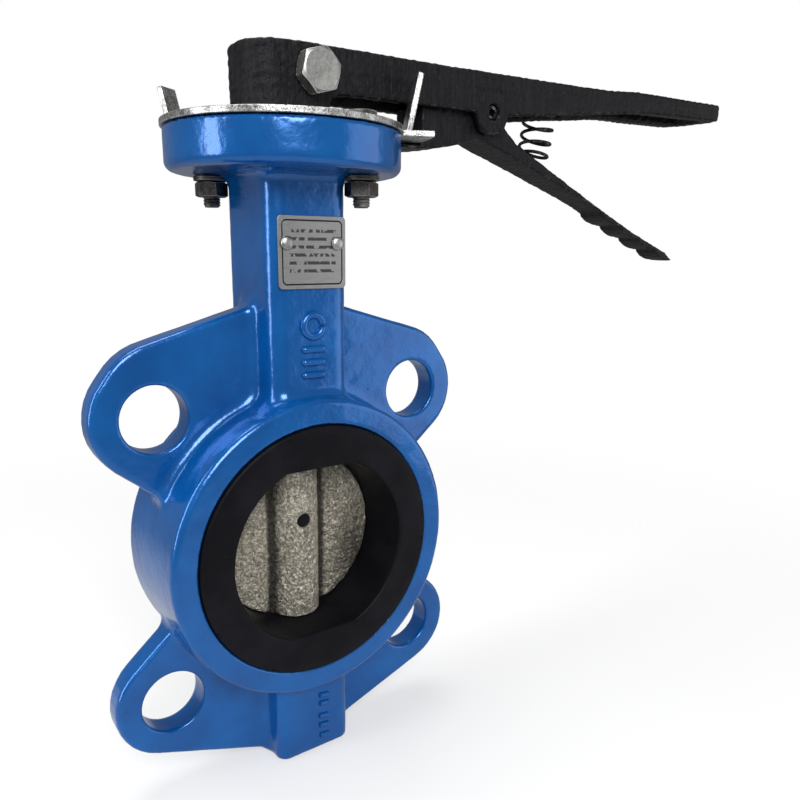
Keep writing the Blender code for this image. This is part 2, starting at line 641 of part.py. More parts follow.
def nameplate(aluminium, steel):
    """A thin plate on the neck's front face, held by two dome rivets."""
    back = -NECK_HALF_DEPTH - GAP
    front = back - NAMEPLATE_THICKNESS
    outline = rounded_box(NAMEPLATE_WIDTH / 2, NAMEPLATE_HEIGHT / 2, NAMEPLATE_CORNER, 3)
    raised = [(x, z + NAMEPLATE_MIDDLE) for x, z in outline]
    plate = prism("nameplate", raised, front, back, aluminium, side_view)
    for name, x in (("left", -RIVET_SPACING / 2), ("right", RIVET_SPACING / 2)):
        at = (x, 0.0, RIVET_HEIGHT)
        hole = RIVET_SHANK_RADIUS + GAP
        span = (front - OVERCUT, back + OVERCUT, None, "Y", at, RIVET_ROUND)
        cut(plate, rod(f"nameplate_hole_{name}", hole, *span))
        seat = front - GAP
        dome = [
            (0.0, seat - RIVET_HEAD),
            (RIVET_DOME[0] * RIVET_HEAD_RADIUS, seat - RIVET_DOME[1] * RIVET_HEAD),
            (RIVET_HEAD_RADIUS, seat),
            (RIVET_SHANK_RADIUS, seat),
            (RIVET_SHANK_RADIUS, RIVET_SHANK - NECK_HALF_DEPTH),
            (0.0, RIVET_SHANK - NECK_HALF_DEPTH),
        ]
        made = turned(f"nameplate_rivet_{name}", dome, steel, "Y", RIVET_ROUND)
        made.data.transform(Matrix.Translation(at))


def lever_side():
    """The lever from the side: hub block, channel and grip."""
    corner = HUB_CORNER
    back = HUB_BACK - OVERCUT
    high = PLATE_TOP + LEVER_TOP[0][1] * MM - HUB_TOP_DROP
    step = PLATE_TOP + LEVER_BOTTOM[-1][1] * MM - HUB_STEP_DROP
    points = [(back, HUB_BOTTOM), (back, high)]
    points += on_lever(LEVER_TOP + LEVER_TIP + LEVER_BOTTOM)
    points += arc((HUB_FRONT + corner, step - corner), corner, math.pi / 2, math.pi, 4)
    points.append((HUB_FRONT, HUB_BOTTOM))
    return points


def lever_plan():
    """The lever from above: a round back, sides that widen to the grip, and a round tip."""
    centre = (HUB_BACK + HUB_ROUND, LEVER_HALF_WIDTH - HUB_ROUND)
    upper = arc(centre, HUB_ROUND, math.pi, math.pi / 2, 6)
    upper += [
        (GRIP_WIDENS[0] * LEVER_LENGTH, LEVER_HALF_WIDTH),
        (GRIP_WIDENS[1] * LEVER_LENGTH, GRIP_HALF_WIDTH),
    ]
    centre = (LEVER_LENGTH - GRIP_CORNER, GRIP_HALF_WIDTH - GRIP_CORNER)
    upper += arc(centre, GRIP_CORNER, math.pi / 2, 0.0, 6)
    return upper + [(x, -y) for x, y in reversed(upper)]


def lever_handle(black):
    """The cast lever: solid hub, hollow channel, boss for the trigger's pin."""
    wide = GRIP_HALF_WIDTH + OVERCUT
    made = prism("lever_handle", lever_side(), -wide, wide, black, side_view)
    pivot = (PIVOT_X, 0.0, PIVOT_Z)
    boss = [PIVOT_BOSS_RADIUS, -LEVER_HALF_WIDTH - OVERCUT, LEVER_HALF_WIDTH + OVERCUT]
    join(made, rod("pivot_boss", *boss, None, "Y", pivot, LUG_ROUND))
    above = on_lever(LEVER_TIP)[0][1] + OVERCUT
    keep_inside(made, prism("lever_plan", lever_plan(), 0.0, above))
    roof = on_lever(LEVER_TOP + LEVER_TIP[:1])
    start = HUB_FRONT + LEVER_WALL
    end = LEVER_LENGTH - GRIP_CORNER
    channel = [(start, FLANGE_TOP), (start, roof[0][1] - LEVER_WALL)]
    channel += [(x, z - LEVER_WALL) for x, z in roof[1:-1]]
    channel += [(end, roof[-1][1] - LEVER_WALL), (end, FLANGE_TOP)]
    inner = (-CHANNEL_HALF_WIDTH, CHANNEL_HALF_WIDTH)
    cut(made, prism("channel", channel, *inner, place=side_view))
    side = STEM_SQUARE / 2 + GAP
    square = [(-side, -side), (side, -side), (side, side), (-side, side)]
    cut(made, prism("hub_square", square, HUB_BOTTOM - OVERCUT, above))
    across = (-wide, wide, None, "Y")
    cut(made, rod("clamp_hole", M8_RADIUS + GAP, *across, (CLAMP_X, 0.0, CLAMP_Z)))
    cut(made, rod("pivot_hole", PIVOT_PIN_RADIUS + GAP, *across, pivot, PIN_ROUND))
    return made


def clamp_bolt(zinc, steel):
    """The hexagon bolt across the hub that locks in the stem's notch, and its nut."""
    outside = LEVER_HALF_WIDTH + GAP
    at = (CLAMP_X, 0.0, CLAMP_Z)
    head = (-outside - M8_HEAD, -outside)
    bolt = prism("clamp_bolt", hexagon(M8_FLATS, M8_HEAD_TURN), *head, zinc, side_view)
    bolt.data.transform(Matrix.Translation(at))
    nut_end = outside + M8_NUT
    shank = (-outside - GAP, nut_end + M8_END_PROUD, None, "Y", at)
    join(bolt, rod("clamp_shank", M8_RADIUS, *shank))
    nut = prism("clamp_nut", hexagon(M8_FLATS), outside, nut_end, steel, side_view)
    nut.data.transform(Matrix.Translation(at))
    hole = (outside - OVERCUT, nut_end + OVERCUT, None, "Y", at)
    cut(nut, rod("clamp_nut_hole", M8_RADIUS + GAP, *hole))
    return bolt


def grip_waves():
    """Finger ridges under the trigger, from the tip back towards the pivot."""
    (x_start, z_start), (x_end, z_end) = on_arm(TRIGGER_GRIP)
    points = []
    steps = GRIP_WAVES * GRIP_WAVE_STEPS
    for i in range(steps + 1):
        part = 1.0 - i / steps
        phase = part * GRIP_WAVES % 1.0
        swell = math.sin(math.pi * phase**GRIP_WAVE_SKEW) * GRIP_WAVE_HEIGHT
        line = z_start + (z_end - z_start) * part
        points.append((x_start + (x_end - x_start) * part, line - swell))
    return points


def trigger(black, hub):
    """The catch: a nose under the sector, a hub on the pivot pin and a long arm to squeeze."""
    clear = SECTOR_RADIUS + 3.0 * GAP
    outline = [(NOSE_TIP, NOSE_TOP), (clear, NOSE_TOP), (clear, PLATE_TOP + BEAK_HEIGHT)]
    outline += from_pivot(TRIGGER_HUB_TOP) + on_arm(TRIGGER_ARM_TOP) + grip_waves()
    outline += on_arm(TRIGGER_ARM_BOTTOM) + from_pivot(TRIGGER_HUB_BOTTOM)
    outline += [(SECTOR_RADIUS + NOSE_HEEL[0], NOSE_BOTTOM + NOSE_HEEL[1])]
    outline += [(SECTOR_RADIUS, NOSE_BOTTOM), (NOSE_TIP, NOSE_BOTTOM)]
    wide = TRIGGER_HALF_WIDTH
    made = prism("trigger", outline, -wide, wide, black, side_view)
    plan = [
        (NOSE_TIP - OVERCUT, wide + OVERCUT),
        (PIVOT_X + PIVOT_BOSS_RADIUS, wide + OVERCUT),
        (LEVER_LENGTH, wide - TRIGGER_TAPER),
    ]
    plan += [(x, -y) for x, y in reversed(plan)]
    keep_inside(made, prism("trigger_plan", plan, 0.0, PLATE_TOP * 2.0))
    across = (-wide - OVERCUT, wide + OVERCUT, None, "Y", hub, PIN_ROUND)
    cut(made, rod("trigger_hole", PIVOT_PIN_RADIUS + GAP, *across))
    return made


def pivot_pin(steel):
    """The pin of the trigger, flush with the lever's cheeks."""
    half = LEVER_HALF_WIDTH - 2.0 * GAP
    span = (-half, half, steel, "Y", (PIVOT_X, 0.0, PIVOT_Z), PIN_ROUND)
    return rod("trigger_pivot_pin", PIVOT_PIN_RADIUS, *span)


def between(first, second, third, part):
    """A point on the quadratic curve that three points steer."""
    return first * (1 - part) ** 2 + second * 2 * part * (1 - part) + third * part**2


def trigger_spring(steel):
    """Wire wound on a bent axis: square to the arm at its foot, upright at its head."""
    (x_low, z_low), (x_high, z_high) = on_arm(TRIGGER_ARM_TOP[:2])
    (x_foot, _), (x_head, _) = on_arm(((SPRING_FOOT, 0.0), (SPRING_HEAD, 0.0)))
    along = Vector((x_high - x_low, 0.0, z_high - z_low)).normalized()
    normal = Vector((-along.z, 0.0, along.x))
    surface = z_low + (x_foot - x_low) * along.z / along.x
    foot = Vector((x_foot, 0.0, surface)) + normal * (SPRING_WIRE_RADIUS + 2.0 * GAP)
    roof = on_lever(LEVER_TOP[2:3])[0][1] - LEVER_WALL
    head = Vector((x_head, 0.0, roof - SPRING_WIRE_RADIUS - 2.0 * GAP))
    bend = foot + normal * (head.x - foot.x) / normal.x
    steps = round(SPRING_TURNS * SPRING_TURN_STEPS)
    curve = bpy.data.curves.new("trigger_spring", "CURVE")
    curve.dimensions = "3D"
    curve.bevel_depth = SPRING_WIRE_RADIUS
    curve.bevel_resolution = 1
    curve.use_fill_caps = True
    spline = curve.splines.new("POLY")
    spline.points.add(steps)
    for i, point in enumerate(spline.points):
        part = i / steps
        centre = between(foot, bend, head, part)
        ahead = between(foot, bend, head, part + 0.01) - centre
        across = Vector((0.0, 1.0, 0.0))
        outward = across.cross(ahead.normalized())
        angle = 2.0 * math.pi * SPRING_TURNS * part
        place = centre + (outward * math.cos(angle) + across * math.sin(angle)) * SPRING_RADIUS
        point.co = (*place, 1.0)
    made = bpy.data.objects.new("trigger_spring", curve)
    bpy.context.scene.collection.objects.link(made)
    curve.materials.append(steel)
    return made


def empty(name, place, parent=None):
    """A joint's axis, which moving pieces are parented to."""
    made = bpy.data.objects.new(name, None)
    bpy.context.scene.collection.objects.link(made)
    made.parent = parent
    made.location = place
    return made


def hang_on(pivot, world_place, names):
    """Parent pieces to a pivot without moving them."""
    for name in names:
        piece = bpy.data.objects[name]
        piece.parent = pivot
        piece.matrix_parent_inverse = Matrix.Translation(-Vector(world_place))


def main():
    clear_scene()
    blue = material("blue_enamel", (0.01, 0.12, 0.45), 0.25, 0.0)
    rubber = material("black_rubber", (0.01, 0.01, 0.012), 0.5, 0.0)
    iron = material("cast_iron", (0.35, 0.33, 0.29), 0.5, 0.9)
    steel = material("dull_steel", (0.35, 0.35, 0.34), 0.4, 1.0)
    zinc = material("bright_zinc", (0.7, 0.7, 0.68), 0.25, 1.0)
    black = material("black_lever_paint", (0.02, 0.02, 0.022), 0.5, 0.0)
    bronze = material("bronze", (0.5, 0.3, 0.12), 0.4, 1.0)
    aluminium = material("aluminium", (0.6, 0.6, 0.6), 0.35, 1.0)

    pivot = (PIVOT_X, 0.0, PIVOT_Z)
    body_casting(blue)
    seat_liner(rubber)
    disc(iron)
    disc_pin(steel)
    stem(steel)
    bushes(bronze, rubber)
    position_plate(zinc)
    plate_fasteners(steel)
    nameplate(aluminium, steel)
    lever_handle(black)
    clamp_bolt(zinc, steel)
    trigger(black, pivot)
    pivot_pin(steel)
    trigger_spring(black)

    stem_axis = empty("stem_axis", (0.0, 0.0, 0.0))
    trigger_axis = empty("trigger_axis", pivot, stem_axis)
    turning = ["disc", "disc_pin", "stem", "lever_handle", "clamp_bolt", "clamp_nut"]
    hang_on(stem_axis, (0.0, 0.0, 0.0), turning + ["trigger_pivot_pin", "trigger_spring"])
    hang_on(trigger_axis, pivot, ["trigger"])


main()
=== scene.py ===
# %% [markdown]
# ## A wafer butterfly valve with a notched hand lever
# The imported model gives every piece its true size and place. This notebook dresses it: the
# cast pieces get soft fillets and rough skins, the fasteners get threads, and each finish
# is worked out with nodes. Lengths in the shape functions are millimetres, because that is
# how a fitter would measure this valve; meshes are written in metres.

# %% Load the frame
import math

import bmesh
import bpy
import numpy as np
from mathutils import Matrix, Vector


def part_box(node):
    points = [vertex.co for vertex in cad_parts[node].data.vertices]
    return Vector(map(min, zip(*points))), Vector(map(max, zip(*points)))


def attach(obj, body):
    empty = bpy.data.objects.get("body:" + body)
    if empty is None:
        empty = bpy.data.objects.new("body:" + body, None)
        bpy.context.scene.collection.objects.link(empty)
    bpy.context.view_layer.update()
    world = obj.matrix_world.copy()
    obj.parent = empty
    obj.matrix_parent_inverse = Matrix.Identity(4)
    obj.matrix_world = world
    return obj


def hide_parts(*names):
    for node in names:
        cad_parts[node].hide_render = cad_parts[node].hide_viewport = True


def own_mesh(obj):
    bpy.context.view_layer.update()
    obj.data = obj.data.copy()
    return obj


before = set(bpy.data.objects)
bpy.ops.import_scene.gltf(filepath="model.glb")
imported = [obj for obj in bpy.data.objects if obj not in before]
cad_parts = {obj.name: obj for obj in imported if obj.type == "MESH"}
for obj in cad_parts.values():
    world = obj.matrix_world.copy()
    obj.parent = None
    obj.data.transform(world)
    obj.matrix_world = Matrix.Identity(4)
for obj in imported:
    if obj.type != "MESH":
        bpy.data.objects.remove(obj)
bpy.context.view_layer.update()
MM = 0.001


def low_high(node):
    """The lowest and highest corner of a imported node, in millimetres."""
    low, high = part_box(node)
    return np.array(low) / MM, np.array(high) / MM


CASTING_LOW, CASTING_HIGH = low_high("body_casting")
PIN_LOW, PIN_HIGH = low_high("trigger_pivot_pin")
FLANGE_TOP = CASTING_HIGH[2]
PIVOT_X, _, PIVOT_Z = (PIN_LOW + PIN_HIGH) / 2
print("flange top", round(FLANGE_TOP, 1), "pivot", round(PIVOT_X, 1), round(PIVOT_Z, 1))

# %% [markdown]
# ### Surfaces on a grid
# A turned, swept or wound shape is a function of two parameters. numpy works out all its
# points at once, as a grid of rows and columns, and neighbours on the grid are joined by
# quads. A grid can close on itself in either direction, and its ends can be capped.


# %% A grid of points becomes a mesh
def finished(mesh, name, sharp=35.0):
    """Smooth shading up to an angle, as an object at the origin."""
    mesh.update()
    mesh.shade_smooth()
    mesh.set_sharp_from_angle(angle=math.radians(sharp))
    made = bpy.data.objects.new(name, mesh)
    bpy.context.scene.collection.objects.link(made)
    return made


def surface(name, points, around=True, along=False, caps=False, sharp=35.0):
    """Rows by columns of points, in millimetres; the columns close round, the rows may too."""
    rows, columns = points.shape[:2]
    index = np.arange(rows * columns).reshape(rows, columns)
    if around:
        index = np.concatenate([index, index[:, :1]], axis=1)
    if along:
        index = np.concatenate([index, index[:1]], axis=0)
    quads = np.stack(
        [index[:-1, :-1], index[:-1, 1:], index[1:, 1:], index[1:, :-1]], axis=-1
    ).reshape(-1, 4)
    faces = quads.tolist()
    if caps:
        faces += [index[0, ::-1][int(around):].tolist(), index[-1, :columns].tolist()]
    mesh = bpy.data.meshes.new(name)
    mesh.from_pydata((points.reshape(-1, 3) * MM).tolist(), [], faces)
    tidy = bmesh.new()
    tidy.from_mesh(mesh)
    bmesh.ops.remove_doubles(tidy, verts=tidy.verts, dist=1e-6)
    bmesh.ops.recalc_face_normals(tidy, faces=tidy.faces)
    tidy.to_mesh(mesh)
    tidy.free()
    return finished(mesh, name, sharp)


def turned(profile, steps=96):
    """Points (radius, height) turned round Z: (r cos t, r sin t, h)."""
    radius, height = np.array(profile, float).T
    t = np.linspace(0.0, 2.0 * np.pi, steps, endpoint=False)
    ones = np.ones_like(t)
    return np.stack(
        [np.outer(radius, np.cos(t)), np.outer(radius, np.sin(t)), np.outer(height, ones)], -1
    )


def lying(points):
    """Turn a shape that was made upright so that its top faces -Y."""
    return points[..., [0, 2, 1]] * np.array([1.0, -1.0, 1.0])


# %% [markdown]
# ### Castings as distance fields
# A sand casting has no sharp inner corners: where two walls meet, the metal fills the
# corner. A distance field gives that for little work. Each plain solid is a function that
# tells how far a point is outside it, and a soft minimum of two functions is both solids
# with a fillet between them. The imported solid, remeshed evenly, gives the skin to start
# from, and each of its vertices walks along the gradient until the distance is zero.


# %% Distances of plain solids
def rounded(a, b, r):
    """Two distances at right angles become one solid with an edge of radius r."""
    a, b = a + r, b + r
    return np.minimum(np.maximum(a, b), 0.0) + np.hypot(np.maximum(a, 0), np.maximum(b, 0)) - r


def block(u, v, half_u, half_v, r):
    """A rectangle of these half sizes with corners of radius r."""
    return rounded(np.abs(u) - half_u, np.abs(v) - half_v, r)


def slab(flat, w, low, high, r=0.0):
    """A flat outline's distance made a solid between two heights, with round edges."""
    return rounded(flat, np.abs(w - (low + high) / 2) - (high - low) / 2, r)


def blend(a, b, k):
    """Soft minimum: both solids, with a fillet about k wide where they meet."""
    h = np.clip(0.5 + 0.5 * (b - a) / k, 0.0, 1.0)
    return b + (a - b) * h - k * h * (1.0 - h)


def carve(a, b, k):
    """The first solid less the second, with the edges eased over k."""
    return -blend(-a, b, k)


def convex(u, v, corners):
    """Distance to a convex outline: the largest distance from its edges' lines."""
    start = np.array(corners, float)
    edge = np.roll(start, -1, axis=0) - start
    after = np.roll(edge, -1, axis=0)
    turn = np.sign(np.sum(edge[:, 0] * after[:, 1] - edge[:, 1] * after[:, 0]))
    normal = turn * np.stack([edge[:, 1], -edge[:, 0]], 1) / np.linalg.norm(edge, axis=1)[:, None]
    offset = np.sum(normal * start, axis=1)
    return (np.stack([u, v], -1) @ normal.T - offset).max(axis=-1)


def polygon(u, v, corners):
    """Signed distance to any outline: nearest edge, negative where a ray crosses it oddly."""
    start = np.array(corners, float)
    edge = np.roll(start, -1, axis=0) - start
    du = u[:, None] - start[:, 0]
    dv = v[:, None] - start[:, 1]
    share = np.clip((du * edge[:, 0] + dv * edge[:, 1]) / np.sum(edge**2, axis=1), 0.0, 1.0)
    far = np.hypot(du - share * edge[:, 0], dv - share * edge[:, 1]).min(axis=1)
    spans = (dv < 0) != (dv - edge[:, 1] < 0)
    slope = np.where(edge[:, 1] == 0, 1.0, edge[:, 1])
    crossed = spans & (du < dv * edge[:, 0] / slope)
    return np.where(crossed.sum(axis=1) % 2, -far, far)


def ripple(p, length, seed=0.0):
    """Gentle waves from -1 to 1: sines along six directions, about this long."""
    turn = np.arange(6) * 2.399 + seed
    tilt = np.cos(np.arange(6) * 1.7 + seed)
    across = np.sqrt(1.0 - tilt**2)
    ways = np.stack([np.cos(turn) * across, np.sin(turn) * across, tilt], 0)
    phase = p @ ways * (2.0 * np.pi / length) * (0.7 + 0.12 * np.arange(6))
    return np.sin(phase + turn * 3.0).sum(axis=1) / 3.0


def arc(centre, radius, start, end, steps):
    """Points on a circle, the angles in degrees."""
    t = np.radians(np.linspace(start, end, steps))
    return [(centre[0] + radius * c, centre[1] + radius * s) for c, s in zip(np.cos(t), np.sin(t))]


# %% Walk a skin to the zero of a distance
def sculpted(name, node, distance, voxel, steps=5, sharp=70.0):
    """A copy of the node's solid, remeshed, whose vertices go down the gradient to the shape.

    Each step moves a point by -d g / |g|^2, where g is the gradient by central differences.
    """
    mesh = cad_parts[node].data.copy()
    mesh.materials.clear()
    welded = bmesh.new()
    welded.from_mesh(mesh)
    bmesh.ops.remove_doubles(welded, verts=welded.verts, dist=1e-6)
    welded.to_mesh(mesh)
    welded.free()
    rough = bpy.data.objects.new(name + "_start", mesh)
    bpy.context.scene.collection.objects.link(rough)
    remesh = rough.modifiers.new("even skin", "REMESH")
    remesh.mode = "VOXEL"
    remesh.voxel_size = voxel * MM
    even = rough.evaluated_get(bpy.context.evaluated_depsgraph_get())
    skin = bpy.data.meshes.new_from_object(even)
    bpy.data.objects.remove(rough, do_unlink=True)
    flat = np.empty(len(skin.vertices) * 3, np.float32)
    skin.vertices.foreach_get("co", flat)
    p = flat.reshape(-1, 3).astype(float) / MM
    reach = 0.05
    for _ in range(steps):
        d = distance(p)
        slope = np.stack(
            [distance(p + reach * way) - distance(p - reach * way) for way in np.eye(3)], 1
        ) / (2.0 * reach)
        length = np.maximum((slope**2).sum(axis=1), 0.2)
        p -= slope * (np.clip(d, -voxel, voxel) / length)[:, None]
    skin.vertices.foreach_set("co", (p * MM).astype(np.float32).reshape(-1))
    print(name, len(p), "points, worst miss", round(float(np.abs(distance(p)).max()), 2), "mm")
    return finished(skin, name, sharp)


# %% [markdown]
# ### The body casting
# Ring, neck, top flange, bottom stub and four lugs are one iron casting. Its faces and
# holes are machined, so those edges stay fairly crisp, and all the rest runs together in
# fillets. Thick enamel lies over it, which leaves the surface slightly wavy.

# %% Sizes of the casting
RING_RADIUS, RING_HALF = 55.0, 22.0
NECK_HALF_WIDTH, NECK_HALF_DEPTH = 15.0, 17.3
FLANGE_RADIUS, FLANGE_BOTTOM = 39.45, FLANGE_TOP - 13.5
LUG_OFFSET, LUG_HOLE, LUG_HALF = 51.27, 11.2, 5.0
SEAT_BORE, SEAT_LIP, SEAT_STEP = 38.5, 46.3, 16.7
BOLT_OFFSET, BOLT_HOLE = 18.77, 3.5
STEM_BORE, STEM_BORE_END = 8.7, 77.3


def hull(points):
    """The convex outline round some points, walked once along each side."""
    points = sorted(points)

    def half(order):
        kept = []
        for q in order:
            while len(kept) > 1 and (kept[-1][0] - kept[-2][0]) * (q[1] - kept[-2][1]) <= (
                kept[-1][1] - kept[-2][1]
            ) * (q[0] - kept[-2][0]):
                kept.pop()
            kept.append(q)
        return kept[:-1]

    return half(points) + half(points[::-1])


RING_ROOT = [(47.3, 21.1), (12.0, 30.0)]
UPPER_LUG = hull(
    arc((LUG_OFFSET, LUG_OFFSET), 20.8, 0, 350, 36)
    + arc((LUG_OFFSET - 3.7, LUG_OFFSET + 3.7), 21.5, 0, 350, 36)
    + RING_ROOT
    + [(12.0, 87.4)]
)
LOWER_LUG = hull(arc((LUG_OFFSET, LUG_OFFSET), 20.0, 0, 350, 36) + RING_ROOT + [(12.0, 86.6)])


# %% The casting's distance
def casting(p):
    """Ring, neck, stub, lugs and flange softly joined, then bored and faced."""
    x, y, z = p.T
    across = np.hypot(x, z)
    ring = slab(across - RING_RADIUS, y, -RING_HALF, RING_HALF, 2.0)
    neck = slab(block(x, y, NECK_HALF_WIDTH, NECK_HALF_DEPTH, 5.5), z, 30.0, FLANGE_TOP - 3.0)
    stub = slab(block(x, y, 15.3, 15.3, 4.0), z, CASTING_LOW[2], -30.0, 1.6)
    upper = z > 0
    lug = np.empty_like(x)
    lug[upper] = convex(np.abs(x[upper]), z[upper], UPPER_LUG)
    lug[~upper] = convex(np.abs(x[~upper]), -z[~upper], LOWER_LUG)
    lug = slab(lug, y, -LUG_HALF, LUG_HALF, 1.8)
    flange = slab(np.hypot(x, y) - FLANGE_RADIUS, z, FLANGE_BOTTOM, FLANGE_TOP + 10.0, 3.0)
    body = blend(blend(ring, neck, 6.0), stub, 5.0)
    body = blend(body, lug, 4.5)
    body = blend(body, flange, 5.0)
    body = body + 0.05 * ripple(p, 17.0) + 0.025 * ripple(p, 6.0, 2.0)
    body = carve(body, FLANGE_TOP - z, 0.7)
    body = carve(body, z - CASTING_LOW[2], 0.7)
    holes = np.hypot(np.abs(x) - LUG_OFFSET, np.abs(z) - LUG_OFFSET) - LUG_HOLE
    body = carve(body, holes, 1.3)
    lip = np.maximum(across - SEAT_LIP, SEAT_STEP - np.abs(y))
    body = carve(body, np.minimum(across - SEAT_BORE, lip), 0.8)
    bolts = np.hypot(np.abs(x) - BOLT_OFFSET, np.abs(y) - BOLT_OFFSET) - BOLT_HOLE
    body = carve(body, np.maximum(bolts, FLANGE_BOTTOM - 3.0 - z), 0.4)
    return np.maximum(body, np.minimum(STEM_BORE - np.hypot(x, y), z + STEM_BORE_END))


body_casting = sculpted("cast_body", "body_casting", casting, 1.0)
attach(body_casting, "valve_body")
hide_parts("body_casting")

# %% [markdown]
# ### The rubber seat and the disc
# The seat is a moulded sleeve with a lip on each face. Where the stem passes through, the
# throat has a flat, so the opening looks like a circle with its top and bottom cut off.
# The disc is a raw sand casting: a shallow lens, a hub along the stem that runs into it
# with hollow fillets, and a skin full of grains.

# %% The seat's distance
THROAT, SEAT_FLAT, SEAT_HALF = 32.55, 31.0, 23.0
LIP_RADIUS, SLEEVE_RADIUS, LIP_START = 46.0, 38.2, 17.0
STEM_HOLE = 6.6


def seat(p):
    """A lipped sleeve less a flared waterway with flats, and a shallow groove in its face."""
    x, y, z = p.T
    across = np.hypot(x, z)
    lip = slab(across - LIP_RADIUS, y, -SEAT_HALF, SEAT_HALF, 0.7)
    body = np.maximum(lip, -np.maximum(SLEEVE_RADIUS - across, np.abs(y) - LIP_START))
    flare = 1.3 * np.clip((np.abs(y) - 5.0) / 18.0, 0.0, 1.0)
    flats = np.abs(z) - SEAT_FLAT
    waterway = -blend(THROAT + flare - across, -flats, 0.3)
    body = carve(body, waterway, 1.0)
    groove = np.hypot(across - 44.6, np.abs(y) - SEAT_HALF) - 0.55
    body = carve(body, groove, 0.3)
    return np.maximum(body, STEM_HOLE - np.hypot(x, y))


seat_liner = sculpted("rubber_seat", "seat_liner", seat, 0.7)
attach(seat_liner, "valve_body")
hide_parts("seat_liner")

# %% The disc's distance
DISC_RADIUS, DISC_FLAT, HUB_RADIUS = 32.25, 30.7, 9.6
DISC_HALF, DISC_FALL = 4.0, 1.4
GROOVE_PLACE, GROOVE_WIDTH, GROOVE_DEPTH = 10.9, 2.4, 1.7
PIN_HEIGHT, PIN_HOLE = 7.4, 2.8


def disc(p):
    """A lens with a round rim, softly joined to a hub, with a dished valley beside the hub."""
    x, y, z = p.T
    across = np.hypot(x, z)
    share = np.clip(across / DISC_RADIUS, 0.0, 1.0)
    groove = GROOVE_DEPTH * np.exp(-(((np.abs(x) - GROOVE_PLACE) / GROOVE_WIDTH) ** 2))
    half = DISC_HALF - DISC_FALL * share**2 - groove
    lens = rounded(across - DISC_RADIUS, np.abs(y) - half, 1.6)
    hub = np.hypot(x, y * 0.97) - HUB_RADIUS + 0.35
    body = blend(lens, np.maximum(hub, np.abs(z) - DISC_FLAT), 1.4)
    body = body + 0.09 * ripple(p, 5.0) + 0.08 * ripple(p, 2.2, 1.0)
    body = carve(body, DISC_FLAT - np.abs(z), 0.5)
    body = carve(body, np.hypot(x, y) - STEM_HOLE, 0.3)
    return carve(body, np.hypot(x, z - PIN_HEIGHT) - PIN_HOLE, 0.6)


cast_disc = sculpted("cast_disc", "disc", disc, 0.5)
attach(cast_disc, "lever")
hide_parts("disc")

# %% [markdown]
# ### The lever and its trigger
# The lever is a cast channel, open underneath, and was painted black as it came out of the
# sand, so its edges are ragged. The trigger lies inside the channel on a pin and has a lobe
# for each finger. Both are outlines from the side, given a width that changes along them.

# %% The lever's distance
LEVER_LOW, LEVER_HIGH = low_high("lever_handle")
LEVER_END = LEVER_HIGH[0]
PLATE_TOP = FLANGE_TOP + 2.3
LEVER_HALF, GRIP_WIDENS, TIP_ROUND, BACK_ROUND = 12.0, 3.0, 13.0, 9.0
CHANNEL_HALF, CLAMP_HOLE, PIVOT_HOLE, STEM_SQUARE = 8.4, 4.3, 2.9, 4.75


def shares(points):
    """Pairs of the share of the lever's length and the height above the plate, as X and Z."""
    return [(share * LEVER_END, PLATE_TOP + height) for share, height in points]


LEVER_TOP = shares([(0.0, 24.2), (0.24, 25.0), (0.5, 26.4), (0.62, 27.3), (0.71, 29.2)])
LEVER_OUTLINE = (
    [(LEVER_LOW[0] - 2.0, PLATE_TOP + 1.0), (LEVER_LOW[0] - 2.0, PLATE_TOP + 23.1)]
    + LEVER_TOP
    + shares([(1.0, 30.9), (1.0, 23.5), (0.946, 22.3), (0.718, 20.2), (0.502, 14.3)])
    + shares([(0.396, 11.2), (0.083, 9.9)])
    + arc((14.3, PLATE_TOP + 6.3), 3.0, 90, 180, 5)
    + [(11.3, PLATE_TOP + 1.0)]
)
LEVER_CHANNEL = (
    [(14.9, PLATE_TOP - 20.0), (14.9, PLATE_TOP + 20.6)]
    + [(x, z - 3.6) for x, z in LEVER_TOP[1:]]
    + [(LEVER_END - 9.0, PLATE_TOP + 27.0), (LEVER_END - 9.0, PLATE_TOP - 20.0)]
)


def lever(p):
    """The side outline with a varying half width, less the channel and the cross holes."""
    x, y, z = p.T
    grip = np.clip((x / LEVER_END - 0.62) / 0.23, 0.0, 1.0)
    half = LEVER_HALF + GRIP_WIDENS * grip * grip * (3.0 - 2.0 * grip)
    tip = LEVER_END - TIP_ROUND
    round_tip = np.hypot(x - tip, np.abs(y) * TIP_ROUND / (LEVER_HALF + GRIP_WIDENS)) - TIP_ROUND
    plan = np.where(x > tip, round_tip, np.abs(y) - half)
    back = LEVER_LOW[0] + BACK_ROUND
    beside = np.maximum(np.abs(y) - (LEVER_HALF - BACK_ROUND), 0.0)
    round_back = np.hypot(np.minimum(x - back, 0.0), beside) - BACK_ROUND
    plan = np.where(x < back, round_back, plan)
    crown = 1.3 * grip * (y / half) ** 2
    side = polygon(x, z + crown * (z > PLATE_TOP + 24.0), LEVER_OUTLINE)
    ragged = 0.2 * ripple(p, 2.8) + 0.08 * ripple(p, 8.0, 1.0)
    body = rounded(side, plan, 1.0)
    boss = slab(np.hypot(x - PIVOT_X, z - PIVOT_Z) - 8.2, y, -LEVER_HALF, LEVER_HALF, 1.0)
    body = blend(body, boss, 2.0) + ragged * 0.8
    wall = np.abs(y) - CHANNEL_HALF + 0.3 * ripple(p, 5.0)
    inside = np.maximum(polygon(x, z, LEVER_CHANNEL), wall)
    body = carve(body, inside, 1.2)
    clamp = np.hypot(x - CLAMP_X, z - CLAMP_Z) - CLAMP_HOLE
    pivot = np.hypot(x - PIVOT_X, z - PIVOT_Z) - PIVOT_HOLE
    square = np.maximum(np.abs(x), np.abs(y)) - STEM_SQUARE
    return carve(carve(body, np.minimum(clamp, square), 0.4), pivot, 0.8)


